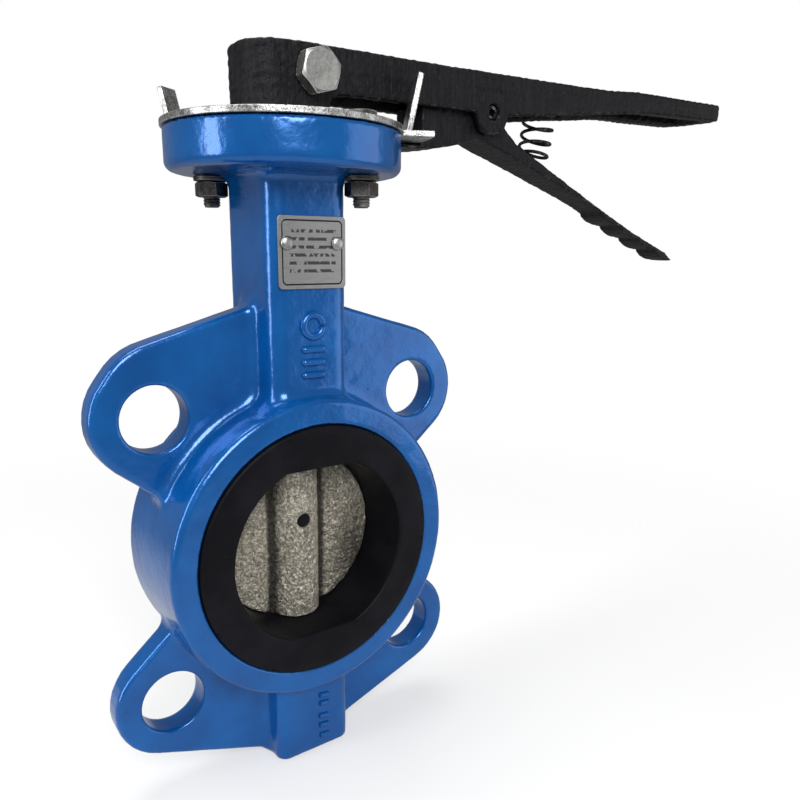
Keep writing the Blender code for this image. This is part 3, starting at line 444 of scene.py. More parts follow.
NUT_LOW, NUT_HIGH = low_high("clamp_nut")
CLAMP_X, _, CLAMP_Z = (NUT_LOW + NUT_HIGH) / 2
lever_handle = sculpted("lever_grip", "lever_handle", lever, 0.8)
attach(lever_handle, "lever")
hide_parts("lever_handle")

# %% The trigger's distance
TRIGGER_BACK = low_high("trigger")[0][0]
REACH = LEVER_END - PIVOT_X


def on_arm(points):
    """Pairs of the share of the way from the pivot to the lever's tip, and the height."""
    return [(PIVOT_X + share * REACH, PIVOT_Z + height) for share, height in points]


def by_pivot(points):
    """Offsets from the pivot as X and Z."""
    return [(PIVOT_X + u, PIVOT_Z + v) for u, v in points]


ARM_TOP = [(0.218, -16.4), (0.455, -31.6), (0.646, -43.0), (0.819, -51.8), (0.857, -55.4)]
GRIP_START, GRIP_END = on_arm([(0.478, -34.3), (0.85, -55.8)])


def finger_lobes(count=4, steps=12, height=1.9):
    """Lobes below the line of the grip, from the tip back: height times sin(pi s^0.7)."""
    share = np.linspace(1.0, 0.0, count * steps + 1)
    swell = height * np.sin(np.pi * (share * count % 1.0) ** 0.7)
    x = GRIP_START[0] + (GRIP_END[0] - GRIP_START[0]) * share
    z = GRIP_START[1] + (GRIP_END[1] - GRIP_START[1]) * share - swell
    return list(zip(x, z))


NOSE_TOP = FLANGE_TOP - 0.3
TRIGGER_SIDE = (
    [(TRIGGER_BACK, NOSE_TOP), (52.4, NOSE_TOP), (52.4, PLATE_TOP + 11.0)]
    + by_pivot([(-21.8, 0.4), (-9.8, 5.8), (4.7, 5.4), (10.7, -4.3), (17.2, -9.4)])
    + on_arm(ARM_TOP)
    + finger_lobes()
    + on_arm([(0.466, -33.4), (0.405, -29.9), (0.178, -18.7)])
    + by_pivot([(-3.3, -9.3), (-12.8, -12.2)])
    + [(60.0, NOSE_TOP - 0.3), (51.5, NOSE_TOP - 1.2), (TRIGGER_BACK, NOSE_TOP - 1.2)]
)


def trigger(p):
    """The side outline, as wide as the channel at the hub and narrower towards the tip."""
    x, y, z = p.T
    taper = np.clip((x - PIVOT_X - 8.0) / (LEVER_END - PIVOT_X - 8.0), 0.0, 1.0)
    side = polygon(x, z, TRIGGER_SIDE)
    body = rounded(side, np.abs(y) - 8.1 + 3.1 * taper, 0.9)
    body = body + 0.10 * ripple(p, 3.4) + 0.07 * ripple(p, 7.0, 1.0)
    return carve(body, np.hypot(x - PIVOT_X, z - PIVOT_Z) - PIVOT_HOLE, 0.3)


trigger_arm = sculpted("trigger_arm", "trigger", trigger, 0.55)
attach(trigger_arm, "trigger")
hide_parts("trigger")

# %% [markdown]
# ### Sheet metal
# The position plate was punched from sheet: a disc with a sector of notches, and two tabs
# bent up at the ends of the sector. A flat outline is enough for the disc; the tabs are a
# strip carried along a bent path. A narrow bevel rounds the edges, so that they catch light.


# %% Punched sheet and bent strip
def eased(piece, width, segments=2):
    """A narrow bevel on the sharp edges, in millimetres."""
    bevel = piece.modifiers.new("eased edges", "BEVEL")
    bevel.width = width * MM
    bevel.segments = segments
    bevel.limit_method = "ANGLE"
    bevel.angle_limit = math.radians(40.0)
    bevel.harden_normals = True
    return piece


def sheet(name, outline, low, high, holes=()):
    """A flat outline (x, y) between two heights, with round holes (x, y, radius)."""
    count = len(outline)
    points = np.array(outline)
    base = np.column_stack([points, np.full(count, low)])
    top = np.column_stack([points, np.full(count, high)])
    side = [(i, (i + 1) % count, count + (i + 1) % count, count + i) for i in range(count)]
    faces = [list(range(count))[::-1], list(range(count, 2 * count)), *side]
    mesh = bpy.data.meshes.new(name)
    mesh.from_pydata((np.concatenate([base, top]) * MM).tolist(), [], faces)
    blank = finished(mesh, name)
    drills = []
    for x, y, radius in holes:
        profile = [(0.0, low - 1.0), (radius, low - 1.0), (radius, high + 1.0), (0.0, high + 1.0)]
        drill = surface(name + "_drill", turned(profile, 48) + np.array([x, y, 0.0]))
        modifier = blank.modifiers.new("hole", "BOOLEAN")
        modifier.object = drill
        modifier.solver = "EXACT"
        drills.append(drill)
    if drills:
        graph = bpy.context.evaluated_depsgraph_get()
        punched = bpy.data.meshes.new_from_object(blank.evaluated_get(graph))
        for unwanted in [blank, *drills]:
            bpy.data.objects.remove(unwanted, do_unlink=True)
        blank = finished(punched, name)
    return eased(blank, 0.3)


def strip(name, path, thickness, width, angle):
    """A flat strip along a path of (outwards, up), turned round Z by the angle in degrees."""
    path = np.array(path, float)
    along = np.gradient(path, axis=0)
    along /= np.linalg.norm(along, axis=1)[:, None]
    inward = np.stack([-along[:, 1], along[:, 0]], 1) * thickness
    corners = [(path, -1), (path, 1), (path + inward, 1), (path + inward, -1)]
    edges = [
        np.column_stack([q[:, 0], np.full(len(q), side * width / 2), q[:, 1]])
        for q, side in corners
    ]
    rows = np.stack(edges, axis=1)
    c, s = math.cos(math.radians(angle)), math.sin(math.radians(angle))
    turned_rows = rows @ np.array([[c, s, 0.0], [-s, c, 0.0], [0.0, 0.0, 1.0]])
    made = surface(name, turned_rows, caps=True)
    return eased(made, 0.35)


# %% The position plate
PLATE_BOTTOM = FLANGE_TOP + 0.3
PLATE_RADIUS, SECTOR_RADIUS = 40.25, 51.55
FRONT_EAR, REAR_EAR, EAR_SIDE, EAR_FOOT = -22.97, 121.97, 5.6, 44.05
NOTCHES, NOTCH_HALF, NOTCH_ROOT = 10, 2.6, 46.05


def sector_rim():
    """The sector's rim from front to rear, stepping in and out at each notch."""
    rim, last = [], FRONT_EAR - EAR_SIDE
    for middle in np.linspace(0.0, 90.0, NOTCHES):
        c, s = math.cos(math.radians(middle)), math.sin(math.radians(middle))
        outer = math.degrees(math.asin(NOTCH_HALF / SECTOR_RADIUS))
        rim += arc((0.0, 0.0), SECTOR_RADIUS, last, middle - outer, 5)
        for side in (-NOTCH_HALF, NOTCH_HALF):
            rim.append((NOTCH_ROOT * c - side * s, NOTCH_ROOT * s + side * c))
        last = middle + outer
    rim += arc((0.0, 0.0), SECTOR_RADIUS, last, REAR_EAR - EAR_SIDE, 14)
    return rim + arc((0.0, 0.0), EAR_FOOT, REAR_EAR - EAR_SIDE, REAR_EAR + EAR_SIDE, 6)


around = arc((0.0, 0.0), PLATE_RADIUS, REAR_EAR + EAR_SIDE, 360.0 + FRONT_EAR - EAR_SIDE, 90)
bolts = [(sx * BOLT_OFFSET, sy * BOLT_OFFSET, BOLT_HOLE) for sx in (-1, 1) for sy in (-1, 1)]
position_plate = sheet(
    "position_sheet", sector_rim() + around, PLATE_BOTTOM, PLATE_BOTTOM + 2.0, bolts
)
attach(position_plate, "valve_body")
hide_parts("position_plate")


def ear_path(base, lean, height, bend=2.4):
    """Out along the sheet, round a small bend, then up and a little outwards."""
    floor, lean = PLATE_BOTTOM + 0.2, math.radians(lean)
    path = [(base - bend - 1.5, floor)]
    path += [
        (base - bend + bend * math.sin(t), floor + bend - bend * math.cos(t))
        for t in np.linspace(0.0, math.pi / 2 - lean, 7)
    ]
    last_out, last_up = path[-1]
    rise = np.linspace(1.5, height - bend, 5)
    return path + [(last_out + math.sin(lean) * q, last_up + math.cos(lean) * q) for q in rise]


ears = {"front_ear": (FRONT_EAR, 43.6, 12.0, 21.0), "rear_ear": (REAR_EAR, 44.6, 15.0, 17.3)}
for name, (angle, base, lean, height) in ears.items():
    ear = strip(name, ear_path(base, lean, height), 2.0, 8.0, angle)
    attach(ear, "valve_body")
print("ears:", ", ".join(ears))

# %% [markdown]
# ### Fasteners
# A hexagon's radius is its half width over the cosine of the angle to the nearest flat. A
# cone cut over its corners leaves the round chamfer, and so the curved upper edge of each
# flat. A thread is a saw wave that climbs by one pitch per turn.


# %% Hexagons, threads and washers
def hexagon(low, high, flats, at, turn=0.0, steps=96):
    """Rows: centre, chamfer circle, flats, chamfer circle, centre; radius f / (2 cos t)."""
    t = np.linspace(0.0, 2.0 * np.pi, steps, endpoint=False)
    local = (t - turn) % (np.pi / 3) - np.pi / 6
    corner = flats / 2 / np.cos(local)
    round_part = np.full(steps, 0.47 * flats)
    drop = (corner - round_part) * math.tan(math.radians(28.0))
    zero = np.zeros(steps)
    radius = np.stack([zero, round_part, corner, corner, round_part, zero])
    height = np.stack(
        [zero + low, zero + low, low + drop, high - drop, zero + high, zero + high]
    )
    return np.stack([radius * np.cos(t), radius * np.sin(t), height], -1) + np.array(at)


def thread(low, high, radius, pitch, at, depth=0.32, steps=64):
    """A closed bar with radius r - depth * saw(z / pitch - t / 2 pi)."""
    t = np.linspace(0.0, 2.0 * np.pi, steps, endpoint=False)
    z = np.linspace(low, high, max(8, int((high - low) / pitch * 12)))
    saw = np.abs(((z[:, None] / pitch - t / (2.0 * np.pi)) % 1.0) * 2.0 - 1.0)
    ends = np.clip(np.minimum(z - low, high - z) / (0.8 * pitch), 0.0, 1.0)[:, None]
    r = radius - depth * saw - 0.5 * (1.0 - ends)
    rows = np.stack([r * np.cos(t), r * np.sin(t), np.broadcast_to(z[:, None], r.shape)], -1)
    cap = np.zeros((1, steps, 3))
    low_cap, high_cap = cap + np.array([0.0, 0.0, low]), cap + np.array([0.0, 0.0, high])
    return np.concatenate([low_cap, rows, high_cap]) + np.array(at)


def washer(low, high, inner, outer, at):
    """A ring with eased corners, closed both ways round."""
    e = 0.25
    profile = [(inner, low + e), (inner + e, low), (outer - e, low), (outer, low + e)]
    profile += [(outer, high - e), (outer - e, high), (inner + e, high), (inner, high - e)]
    return turned(profile, 64) + np.array(at)


def together(name, parts, sharp=22.0):
    """Several surfaces as one piece."""
    made = parts[0]
    joined = bmesh.new()
    for part in parts:
        joined.from_mesh(part.data)
        bpy.data.objects.remove(part, do_unlink=True)
    mesh = bpy.data.meshes.new(name)
    joined.to_mesh(mesh)
    joined.free()
    return finished(mesh, name, sharp)


def fasten(piece, body, node):
    """The piece rides on a body and stands for a node, which is hidden."""
    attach(piece, body)
    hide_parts(node)
    return piece


# %% The fasteners of the plate
fasteners = []
for side, sign in (("front", 1.0), ("rear", -1.0)):
    at = (sign * BOLT_OFFSET, -sign * BOLT_OFFSET, 0.0)
    head = PLATE_BOTTOM + 2.3
    stud_end = low_high("plate_bolt_" + side)[0][2]
    bolt = together(
        "bolt_" + side,
        [
            surface("head", hexagon(head, head + 4.0, 10.0, at)),
            surface("shank", thread(stud_end, head + 0.2, 2.95, 1.0, at)),
        ],
    )
    fasteners.append(fasten(bolt, "valve_body", "plate_bolt_" + side))
    low, high = (corner[2] for corner in low_high("plate_washer_" + side))
    ring = surface("washer_" + side, washer(low, high, 3.3, 6.0, at), along=True)
    fasteners.append(fasten(ring, "valve_body", "plate_washer_" + side))
    low, high = (corner[2] for corner in low_high("plate_nut_" + side))
    nut = surface("nut_" + side, hexagon(low, high, 10.0, at, 0.4), sharp=22.0)
    fasteners.append(fasten(nut, "valve_body", "plate_nut_" + side))
print("fasteners:", len(fasteners))


# %% The clamp bolt and the trigger's pin
def across_lever(upright_points):
    """Lay an upright shape across the lever, through the clamp hole."""
    return lying(upright_points) + np.array([CLAMP_X, 0.0, CLAMP_Z])


BOLT_LOW, BOLT_HIGH = low_high("clamp_bolt")
clamp_bolt = together(
    "clamp_screw",
    [
        surface("head", across_lever(hexagon(12.3, -BOLT_LOW[1], 13.0, (0, 0, 0), 1.3345))),
        surface("shank", across_lever(thread(-BOLT_HIGH[1], 12.6, 3.95, 1.25, (0, 0, 0)))),
    ],
)
fasten(clamp_bolt, "lever", "clamp_bolt")
clamp_nut = surface(
    "clamp_hexagon",
    across_lever(hexagon(-NUT_HIGH[1], -NUT_LOW[1], 13.0, (0, 0, 0))),
    sharp=22.0,
)
fasten(clamp_nut, "lever", "clamp_nut")

ROLL = [(0.0, -11.3), (2.3, -11.4), (2.6, -11.0), (2.6, 11.0), (2.3, 11.4)]
ROLL += [(1.55, 11.4), (1.35, 10.6), (1.25, 8.0), (0.0, 8.0)]
pivot_pin = surface("roll_pin", lying(turned(ROLL, 48)) + np.array([PIVOT_X, 0.0, PIVOT_Z]))
fasten(pivot_pin, "lever", "trigger_pivot_pin")

# %% [markdown]
# ### The trigger's spring and tooth
# The spring is a coil on a bent axis: it stands square on the sloping arm and upright under
# the lever's roof. A quadratic curve through three points bends the axis, and the wire is a
# circle carried round it.


# %% A wire wound on a bent axis
def tube(name, path, radius, outward, sides=12):
    """A circle carried along a path; outward points away from the coil's axis."""
    ahead = np.gradient(path, axis=0)
    ahead /= np.linalg.norm(ahead, axis=1)[:, None]
    side = np.cross(ahead, outward)
    side /= np.linalg.norm(side, axis=1)[:, None]
    up = np.cross(side, ahead)
    t = np.linspace(0.0, 2.0 * np.pi, sides, endpoint=False)
    size = np.ones(len(path)) * radius
    size[[0, -1]] = 0.0
    ring = np.cos(t)[None, :, None] * side[:, None] + np.sin(t)[None, :, None] * up[:, None]
    return surface(name, path[:, None] + ring * size[:, None, None])


SPRING_ROOF = low_high("trigger_spring")[1][2]
foot_x, head_x = PIVOT_X + 0.2125 * REACH, PIVOT_X + 0.24 * REACH
slope = np.subtract(on_arm(ARM_TOP)[1], on_arm(ARM_TOP)[0])
slope /= np.linalg.norm(slope)
normal = np.array([-slope[1], 0.0, slope[0]])
arm_x, arm_z = on_arm(ARM_TOP)[0]
foot = np.array([foot_x, 0.0, arm_z + (foot_x - arm_x) * slope[1] / slope[0]]) + normal * 1.0
head = np.array([head_x, 0.0, SPRING_ROOF - 0.8])
bend = foot + normal * (head[0] - foot[0]) / normal[0]
share = np.linspace(0.0, 1.0, 400)[:, None]
axis = foot * (1 - share) ** 2 + bend * 2 * share * (1 - share) + head * share**2
ahead = np.gradient(axis, axis=0)
ahead /= np.linalg.norm(ahead, axis=1)[:, None]
outward = np.cross([0.0, 1.0, 0.0], ahead)
angle = 2.0 * np.pi * 4.75 * share
away = outward * np.cos(angle) + np.array([0.0, 1.0, 0.0]) * np.sin(angle)
trigger_spring = tube("coil", axis + away * 6.3, 0.68, away)
fasten(trigger_spring, "lever", "trigger_spring")
tuple(head * MM)
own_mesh(trigger_spring)

TOOTH = [(46.6, -2.1), (50.9, -2.1), (50.9, 2.1), (46.6, 2.1)]
tooth = sheet("trigger_tooth", TOOTH, NOSE_TOP - 1.0, PLATE_TOP + 1.2)
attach(tooth, "trigger")

# %% [markdown]
# ### Nameplate, rivets and cast marks
# The nameplate is a thin sheet held by two domed rivets. It carries no words here, only
# rows of short engraved strokes, which its finish draws. The marks that a foundry casts on
# such a body are kept as plain beads and rings, with no letters.


# %% Nameplate and rivets
def rounded_outline(half_width, half_height, corner):
    """A rectangle with round corners."""
    places = [(1, 1, 0), (-1, 1, 90), (-1, -1, 180), (1, -1, 270)]
    points = []
    for sx, sy, start in places:
        centre = (sx * (half_width - corner), sy * (half_height - corner))
        points += arc(centre, corner, start, start + 90, 8)
    return points


RIVET_RADIUS, RIVET_RISE, RIVET_SHANK = 2.3, 1.1, 1.1
NAME_LOW, NAME_HIGH = low_high("nameplate")
name_x, _, name_z = (NAME_LOW + NAME_HIGH) / 2
outline = [(x + name_x, -(z + name_z)) for x, z in rounded_outline(12.7, 11.7, 1.5)]
plate = sheet("name_sheet", outline, NAME_LOW[1], NAME_HIGH[1])
plate.data.transform(Matrix(((1, 0, 0, 0), (0, 0, 1, 0), (0, -1, 0, 0), (0, 0, 0, 1))))
plate.modifiers["eased edges"].width = 0.15 * MM
nameplate = fasten(plate, "valve_body", "nameplate")

for side in ("left", "right"):
    low, high = low_high("nameplate_rivet_" + side)
    x, z = (low[0] + high[0]) / 2, (low[2] + high[2]) / 2
    t = np.linspace(0.0, np.pi / 2, 9)
    dome = [(RIVET_RADIUS * math.sin(a), RIVET_RISE * math.cos(a)) for a in t]
    dome += [(RIVET_SHANK, 0.0), (RIVET_SHANK, -5.0), (0.0, -5.0)]
    seated = lying(turned(dome, 40)) + np.array([x, low[1] + RIVET_RISE, z])
    rivet = surface("rivet_" + side, seated)
    fasten(rivet, "valve_body", "nameplate_rivet_" + side)


# %% Cast marks as beads
def bead(path, radius, outward):
    """A rod with round ends, half sunk in a face."""
    path = np.array(path, float)
    out = np.tile(np.array(outward, float), (len(path), 1))
    return tube("bead", path, radius, out, 10)


def line(start, end, steps=12):
    """Points from start to end."""
    share = np.linspace(0.0, 1.0, steps)[:, None]
    return np.array(start) * (1 - share) + np.array(end) * share


def circle(x, y, z, radius):
    """A ring of points in a vertical plane."""
    t = np.linspace(0.0, 2.0 * np.pi, 40)
    return np.stack([x + radius * np.cos(t), np.full(40, y), z + radius * np.sin(t)], 1)


def mark(name, beads, body):
    """Beads as one piece that rides on a body."""
    made = together(name, beads, sharp=60.0)
    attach(made, body)
    return made


FRONT = (0.0, -1.0, 0.0)
face = -NECK_HALF_DEPTH
beads = [bead(circle(0.2, face, 80.0, 3.7), 1.35, FRONT)]
beads += [bead(line((-4.6, face, z), (5.0, face, z)), 1.35, FRONT) for z in (72.0, 67.6, 63.2)]
neck_marks = mark("neck_marks", beads, "valve_body")
beads = [
    bead(line((x, -15.3, z), (x + 4.6, -15.3, z - 0.6)), 1.1, FRONT)
    for x, z in ((1.4, -63.0), (1.4, -66.5), (1.2, -72.0), (1.2, -76.0), (1.4, -80.5))
]
stub_marks = mark("stub_marks", beads, "valve_body")


def on_disc(x, z):
    """A point of the disc's front face, a little above its skin."""
    share = math.hypot(x, z) / DISC_RADIUS
    return (x, -(DISC_HALF - DISC_FALL * share**2) - 0.05, z)


beads = []
for middle in (-21.6, 20.8):
    corners = [(middle + u, v) for u, v in ((-3.6, -6.6), (3.6, -6.6), (3.6, 6.6), (-3.6, 6.6))]
    for (x0, z0), (x1, z1) in zip(corners, corners[1:] + corners[:1]):
        beads.append(bead(line(on_disc(x0, z0), on_disc(x1, z1), 6), 0.8, FRONT))
    for z in (-4.0, -1.3, 1.4, 4.1):
        beads.append(bead(line(on_disc(middle - 1.7, z), on_disc(middle + 1.7, z), 6), 0.8, FRONT))
disc_marks = mark("disc_marks", beads, "lever")
print("marks:", neck_marks.name, stub_marks.name, disc_marks.name)

# %% [markdown]
# ### Finishes
# Each finish is one material that reads Object coordinates. The objects sit at the origin
# and are one unit to the metre, so a noise scale of 1000 has grains of about a millimetre.
# A small class wraps a socket, so that shader maths can be written as plain expressions.


# %% Sockets that do arithmetic
class Value:
    """An output socket; arithmetic on it adds Math nodes."""

    def __init__(self, finish, socket):
        self.finish = finish
        self.socket = socket

    def math(self, operation, *others):
        """A Math node on this value and the others, in order."""
        values = dict(enumerate((self, *others)))
        return self.finish.add("ShaderNodeMath", {"operation": operation}, values)

    def __add__(self, other):
        return self.math("ADD", other)

    def __sub__(self, other):
        return self.math("SUBTRACT", other)

    def __mul__(self, other):
        return self.math("MULTIPLY", other)

    def __truediv__(self, other):
        return self.math("DIVIDE", other)

    def __rsub__(self, other):
        return (self * -1.0) + other

    __radd__ = __add__
    __rmul__ = __mul__

    def size(self):
        """The value without its sign."""
        return self.math("ABSOLUTE")

    def step(self, start, end):
        """0 at start, 1 at end, smooth between."""
        inputs = {"Value": self, "From Min": start, "From Max": end}
        return self.finish.add("ShaderNodeMapRange", {"interpolation_type": "SMOOTHSTEP"}, inputs)


class Finish:
    """A Principled material whose nodes come from one method."""

    def __init__(self, name, **constants):
        self.material = bpy.data.materials.new(name)
        self.material.use_nodes = True
        self.tree = self.material.node_tree
        self.shader = self.tree.nodes["Principled BSDF"]
        for socket, value in constants.items():
            self.shader.inputs[socket.replace("_", " ")].default_value = value
        self.place = self.add("ShaderNodeTexCoord", output="Object")

    def add(self, kind, settings=None, inputs=None, output=0):
        """A node of any type: its settings first, then the values or links of its sockets."""
        node = self.tree.nodes.new(kind)
        for key, value in (settings or {}).items():
            setattr(node, key, value)
        for key, value in (inputs or {}).items():
            if isinstance(value, Value):
                self.tree.links.new(value.socket, node.inputs[key])
            else:
                node.inputs[key].default_value = value
        return Value(self, node.outputs[output])

    def noise(self, scale, detail=4.0, rough=0.55, stretch=None):
        """Cloudy values round 0.5; a stretch gives each axis a scale of its own."""
        place = self.place
        if stretch:
            place = self.add("ShaderNodeMapping", {}, {"Vector": place, "Scale": stretch})
        inputs = {"Vector": place, "Scale": scale, "Detail": detail, "Roughness": rough}
        return self.add("ShaderNodeTexNoise", {}, inputs)

    def cells(self, scale):
        """The distance to the nearest of many scattered points."""
        inputs = {"Vector": self.place, "Scale": scale}
        return self.add("ShaderNodeTexVoronoi", {}, inputs)

    def axes(self):
        """The three coordinates apart, in metres."""
        return [
            self.add("ShaderNodeSeparateXYZ", {}, {"Vector": self.place}, output)
            for output in ("X", "Y", "Z")
        ]

    def mix(self, factor, first, second):
        """Two colours mixed; the colour sockets of a Mix node are its sixth and seventh."""
        inputs = {0: factor, 6: first, 7: second}
        return self.add("ShaderNodeMix", {"data_type": "RGBA"}, inputs, 2)

    def edges(self, radius):
        """1 along edges narrower than the radius: there a rounded normal leaves the true one."""
        soft = self.add("ShaderNodeBevel", {"samples": 4}, {"Radius": radius})
        true = self.add("ShaderNodeNewGeometry", output="Normal")
        inputs = {0: soft, 1: true}
        same = self.add("ShaderNodeVectorMath", {"operation": "DOT_PRODUCT"}, inputs, "Value")
        return (1.0 - same).step(0.015, 0.12)

    def feed(self, socket, value):
        """Link a value to a socket of the shader."""
        self.tree.links.new(value.socket, self.shader.inputs[socket])

    def bump(self, height, distance):
        """Height times distance, in metres, tilts the surface."""
        inputs = {"Height": height, "Distance": distance, "Strength": 1.0}
        self.feed("Normal", self.add("ShaderNodeBump", {}, inputs))


def colour(red, green, blue):
    """An opaque colour, as linear light."""
    return (red, green, blue, 1.0)


def paint(finish, *pieces):
    """Give pieces their finish, in place of what they had."""
    for piece in pieces:
        piece.data.materials.clear()
        piece.data.materials.append(finish.material)


# %% Blue enamel
enamel = Finish("blue_enamel", Metallic=0.3, Coat_Weight=0.3, Coat_Roughness=0.05)
broad = enamel.noise(45.0, 3.0)
peel = enamel.noise(750.0, 2.0)
wave = enamel.noise(160.0, 2.0)
chips = enamel.noise(330.0, 3.0, 0.6).step(0.735, 0.76)
tint = enamel.mix(broad.step(0.3, 0.7), colour(0.0002, 0.082, 0.315), colour(0.0003, 0.115, 0.41))
enamel.feed("Base Color", enamel.mix(chips, tint, colour(0.02, 0.022, 0.03)))
enamel.feed("Roughness", 0.16 + broad * 0.10 + chips * 0.4)
enamel.bump(peel * 0.25 + wave * 1.0 - chips * 0.8, 0.00022)
paint(enamel, body_casting, neck_marks, stub_marks)

# %% Rubber
rubber = Finish("black_rubber", Specular_IOR_Level=0.10)
bloom = rubber.noise(70.0, 5.0)
dust = rubber.noise(900.0, 3.0, 0.7).step(0.66, 0.74)
skin = rubber.mix(bloom.step(0.35, 0.7), colour(0.004, 0.004, 0.006), colour(0.008, 0.008, 0.011))
rubber.feed("Base Color", rubber.mix(dust * 0.2, skin, colour(0.07, 0.07, 0.07)))
rubber.feed("Roughness", 0.36 + bloom * 0.18)
rubber.bump(rubber.noise(1500.0, 2.0), 0.00004)
paint(rubber, seat_liner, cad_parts["stem_seal"])

# %% Raw cast iron
# Grains and pits of about a millimetre, broad stains, thin dark veins where a noise passes
# its middle, painted shade on the lower corner that the throat shades, and painted shade with
# some dirt in a valley on each side of the hub.
VALLEY_PLACE = 10.3
iron = Finish("cast_iron", Metallic=0.7)
x, y, z = iron.axes()
grain = iron.noise(900.0, 5.0, 0.7)
coarse = iron.noise(520.0, 3.0, 0.55)
pits = iron.cells(540.0).step(0.02, 0.36)
stain = iron.noise(60.0, 4.0)
veins = 1.0 - (iron.noise(620.0, 3.0, 0.6) - 0.5).size().step(0.0, 0.05)
# painted shade: darker towards the lower right, where the throat shades the disc
painted_corner_shade = x.step(11.0 * MM, 26.0 * MM) * (z * -1.0).step(-16.0 * MM, 14.0 * MM)
# painted shade with some dirt: a near-black strip in the valley beside the hub
beside = (x.size() - VALLEY_PLACE * MM).size() + (coarse - 0.5) * (2.0 * MM)
valley = 1.0 - beside.step(0.8 * MM, 2.9 * MM)
body = iron.mix(grain.step(0.32, 0.66), colour(0.50, 0.46, 0.37), colour(1.0, 0.94, 0.80))
body = iron.mix(stain.step(0.4, 0.75) * 0.35, body, colour(0.30, 0.27, 0.21))
body = iron.mix((1.0 - pits) * 0.35, body, colour(0.10, 0.09, 0.07))
body = iron.mix(veins * 0.5, body, colour(0.09, 0.08, 0.06))
body = iron.mix(painted_corner_shade * 0.8, body, colour(0.05, 0.045, 0.038))
iron.feed("Base Color", iron.mix(valley * 0.9, body, colour(0.018, 0.017, 0.015)))
iron.feed("Roughness", 0.3 + grain * 0.2 + valley * 0.2)
iron.bump(grain * 0.6 + pits * 0.25 + coarse * 1.8 - veins * 0.25, 0.0016)
paint(iron, cast_disc, disc_marks)

# %% Black paint on the lever and the trigger
black = Finish("black_lever_paint", Specular_IOR_Level=0.16)
files = black.noise(1.0, 4.0, 0.6, (1500.0, 700.0, 130.0))
lumps = black.noise(260.0, 5.0, 0.65)
fine = black.noise(1300.0, 3.0)
specks = black.noise(700.0, 4.0, 0.7).step(0.70, 0.76)
torn = black.edges(0.9 * MM) * black.noise(420.0, 4.0, 0.7).step(0.50, 0.60)
tone = black.mix(files.step(0.35, 0.75), colour(0.0035, 0.0035, 0.005), colour(0.013, 0.013, 0.016))
bare = (specks * 0.35).math("MAXIMUM", torn)
black.feed("Base Color", black.mix(bare, tone, colour(0.46, 0.46, 0.46)))
black.feed("Roughness", 0.27 + lumps * 0.2 + files * 0.12)
black.bump(lumps * 1.0 + files * 0.5 + fine * 0.2, 0.0006)
paint(black, lever_handle, trigger_arm, trigger_spring, tooth, pivot_pin)


# %% Plated and plain steel
def metal(name, dark, light, edge_highlight, rough, grain_scale, depth):
    """A metal with cloudy tint, fine grain and scratches, and a painted highlight on its edges."""
    made = Finish(name, Metallic=1.0)
    cloud = made.noise(140.0, 5.0)
    fine = made.noise(grain_scale, 4.0, 0.7)
    scratch = made.noise(1.0, 3.0, 0.6, (2600.0, 300.0, 900.0))
    base = made.mix((cloud * 0.5 + fine * 0.5).step(0.35, 0.65), dark, light)
    # painted highlight: edges coloured bright and less metallic, as where they catch the light
    edge = made.edges(0.45 * MM) * cloud.step(0.3, 0.55)
    made.feed("Base Color", made.mix(edge, base, edge_highlight))
    made.feed("Metallic", 1.0 - edge * 0.8)
    made.feed("Roughness", fine * 0.22 + scratch * 0.12 + rough)
    made.bump(fine + scratch * 0.5, depth)
    return made


# white is the colour of the painted edge highlight on the zinc and the bronze
white = colour(0.95, 0.95, 0.93)
zinc = metal(
    "bright_zinc", colour(0.12, 0.12, 0.12), colour(0.78, 0.78, 0.76), white, 0.12, 1400.0, 0.0001
)
bolt_zinc = metal(
    "bolt_zinc", colour(0.30, 0.30, 0.29), colour(0.52, 0.52, 0.50), white, 0.22, 1100.0, 0.00008
)
steel = metal(
    "dull_steel",
    colour(0.05, 0.048, 0.045),
    colour(0.17, 0.165, 0.155),
    colour(0.45, 0.44, 0.40),
    0.3,
    1100.0,
    0.0001,
)
bronze = metal(
    "bronze", colour(0.30, 0.17, 0.07), colour(0.55, 0.35, 0.16), white, 0.25, 1200.0, 0.0001
)
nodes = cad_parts
paint(zinc, position_plate, *[bpy.data.objects[name] for name in ears])
paint(bolt_zinc, clamp_bolt, bpy.data.objects["rivet_left"], bpy.data.objects["rivet_right"])
paint(steel, *fasteners, clamp_nut, nodes["stem"])
# painted shade: the disc's pin takes the black rubber finish so that its hole in the hub looks dark
paint(rubber, nodes["disc_pin"])
paint(bronze, nodes["lower_neck_bush"], nodes["upper_neck_bush"], nodes["bottom_bush"])

# %% The engraved nameplate
name_metal = Finish("aluminium", Metallic=1.0)
x, y, z = name_metal.axes()
u = (x - name_x * MM).size()
v = (z - name_z * MM).size()
over_u, over_v = u - 9.7 * MM, v - 8.7 * MM
round_u, round_v = over_u.math("MAXIMUM", 0.0), over_v.math("MAXIMUM", 0.0)
corner = (round_u * round_u + round_v * round_v).math("SQRT")
inside = corner + over_u.math("MAXIMUM", over_v).math("MINIMUM", 0.0) - 1.5 * MM
border = 1.0 - inside.size().step(0.18 * MM, 0.30 * MM)
row = ((z / (2.55 * MM)).math("FRACT") - 0.5).size()
word = name_metal.noise(1.0, 1.0, 0.5, (620.0, 1.0, 390.0))
stroke = (1.0 - row.step(0.16, 0.24)) * word.step(0.44, 0.47)
stroke = stroke * (1.0 - inside.step(-2.6 * MM, -2.2 * MM))
ink = border.math("MAXIMUM", stroke * 0.8)
brushed = name_metal.noise(1.0, 4.0, 0.6, (260.0, 1500.0, 4200.0))
base = name_metal.mix(brushed, colour(0.26, 0.26, 0.27), colour(0.46, 0.46, 0.46))
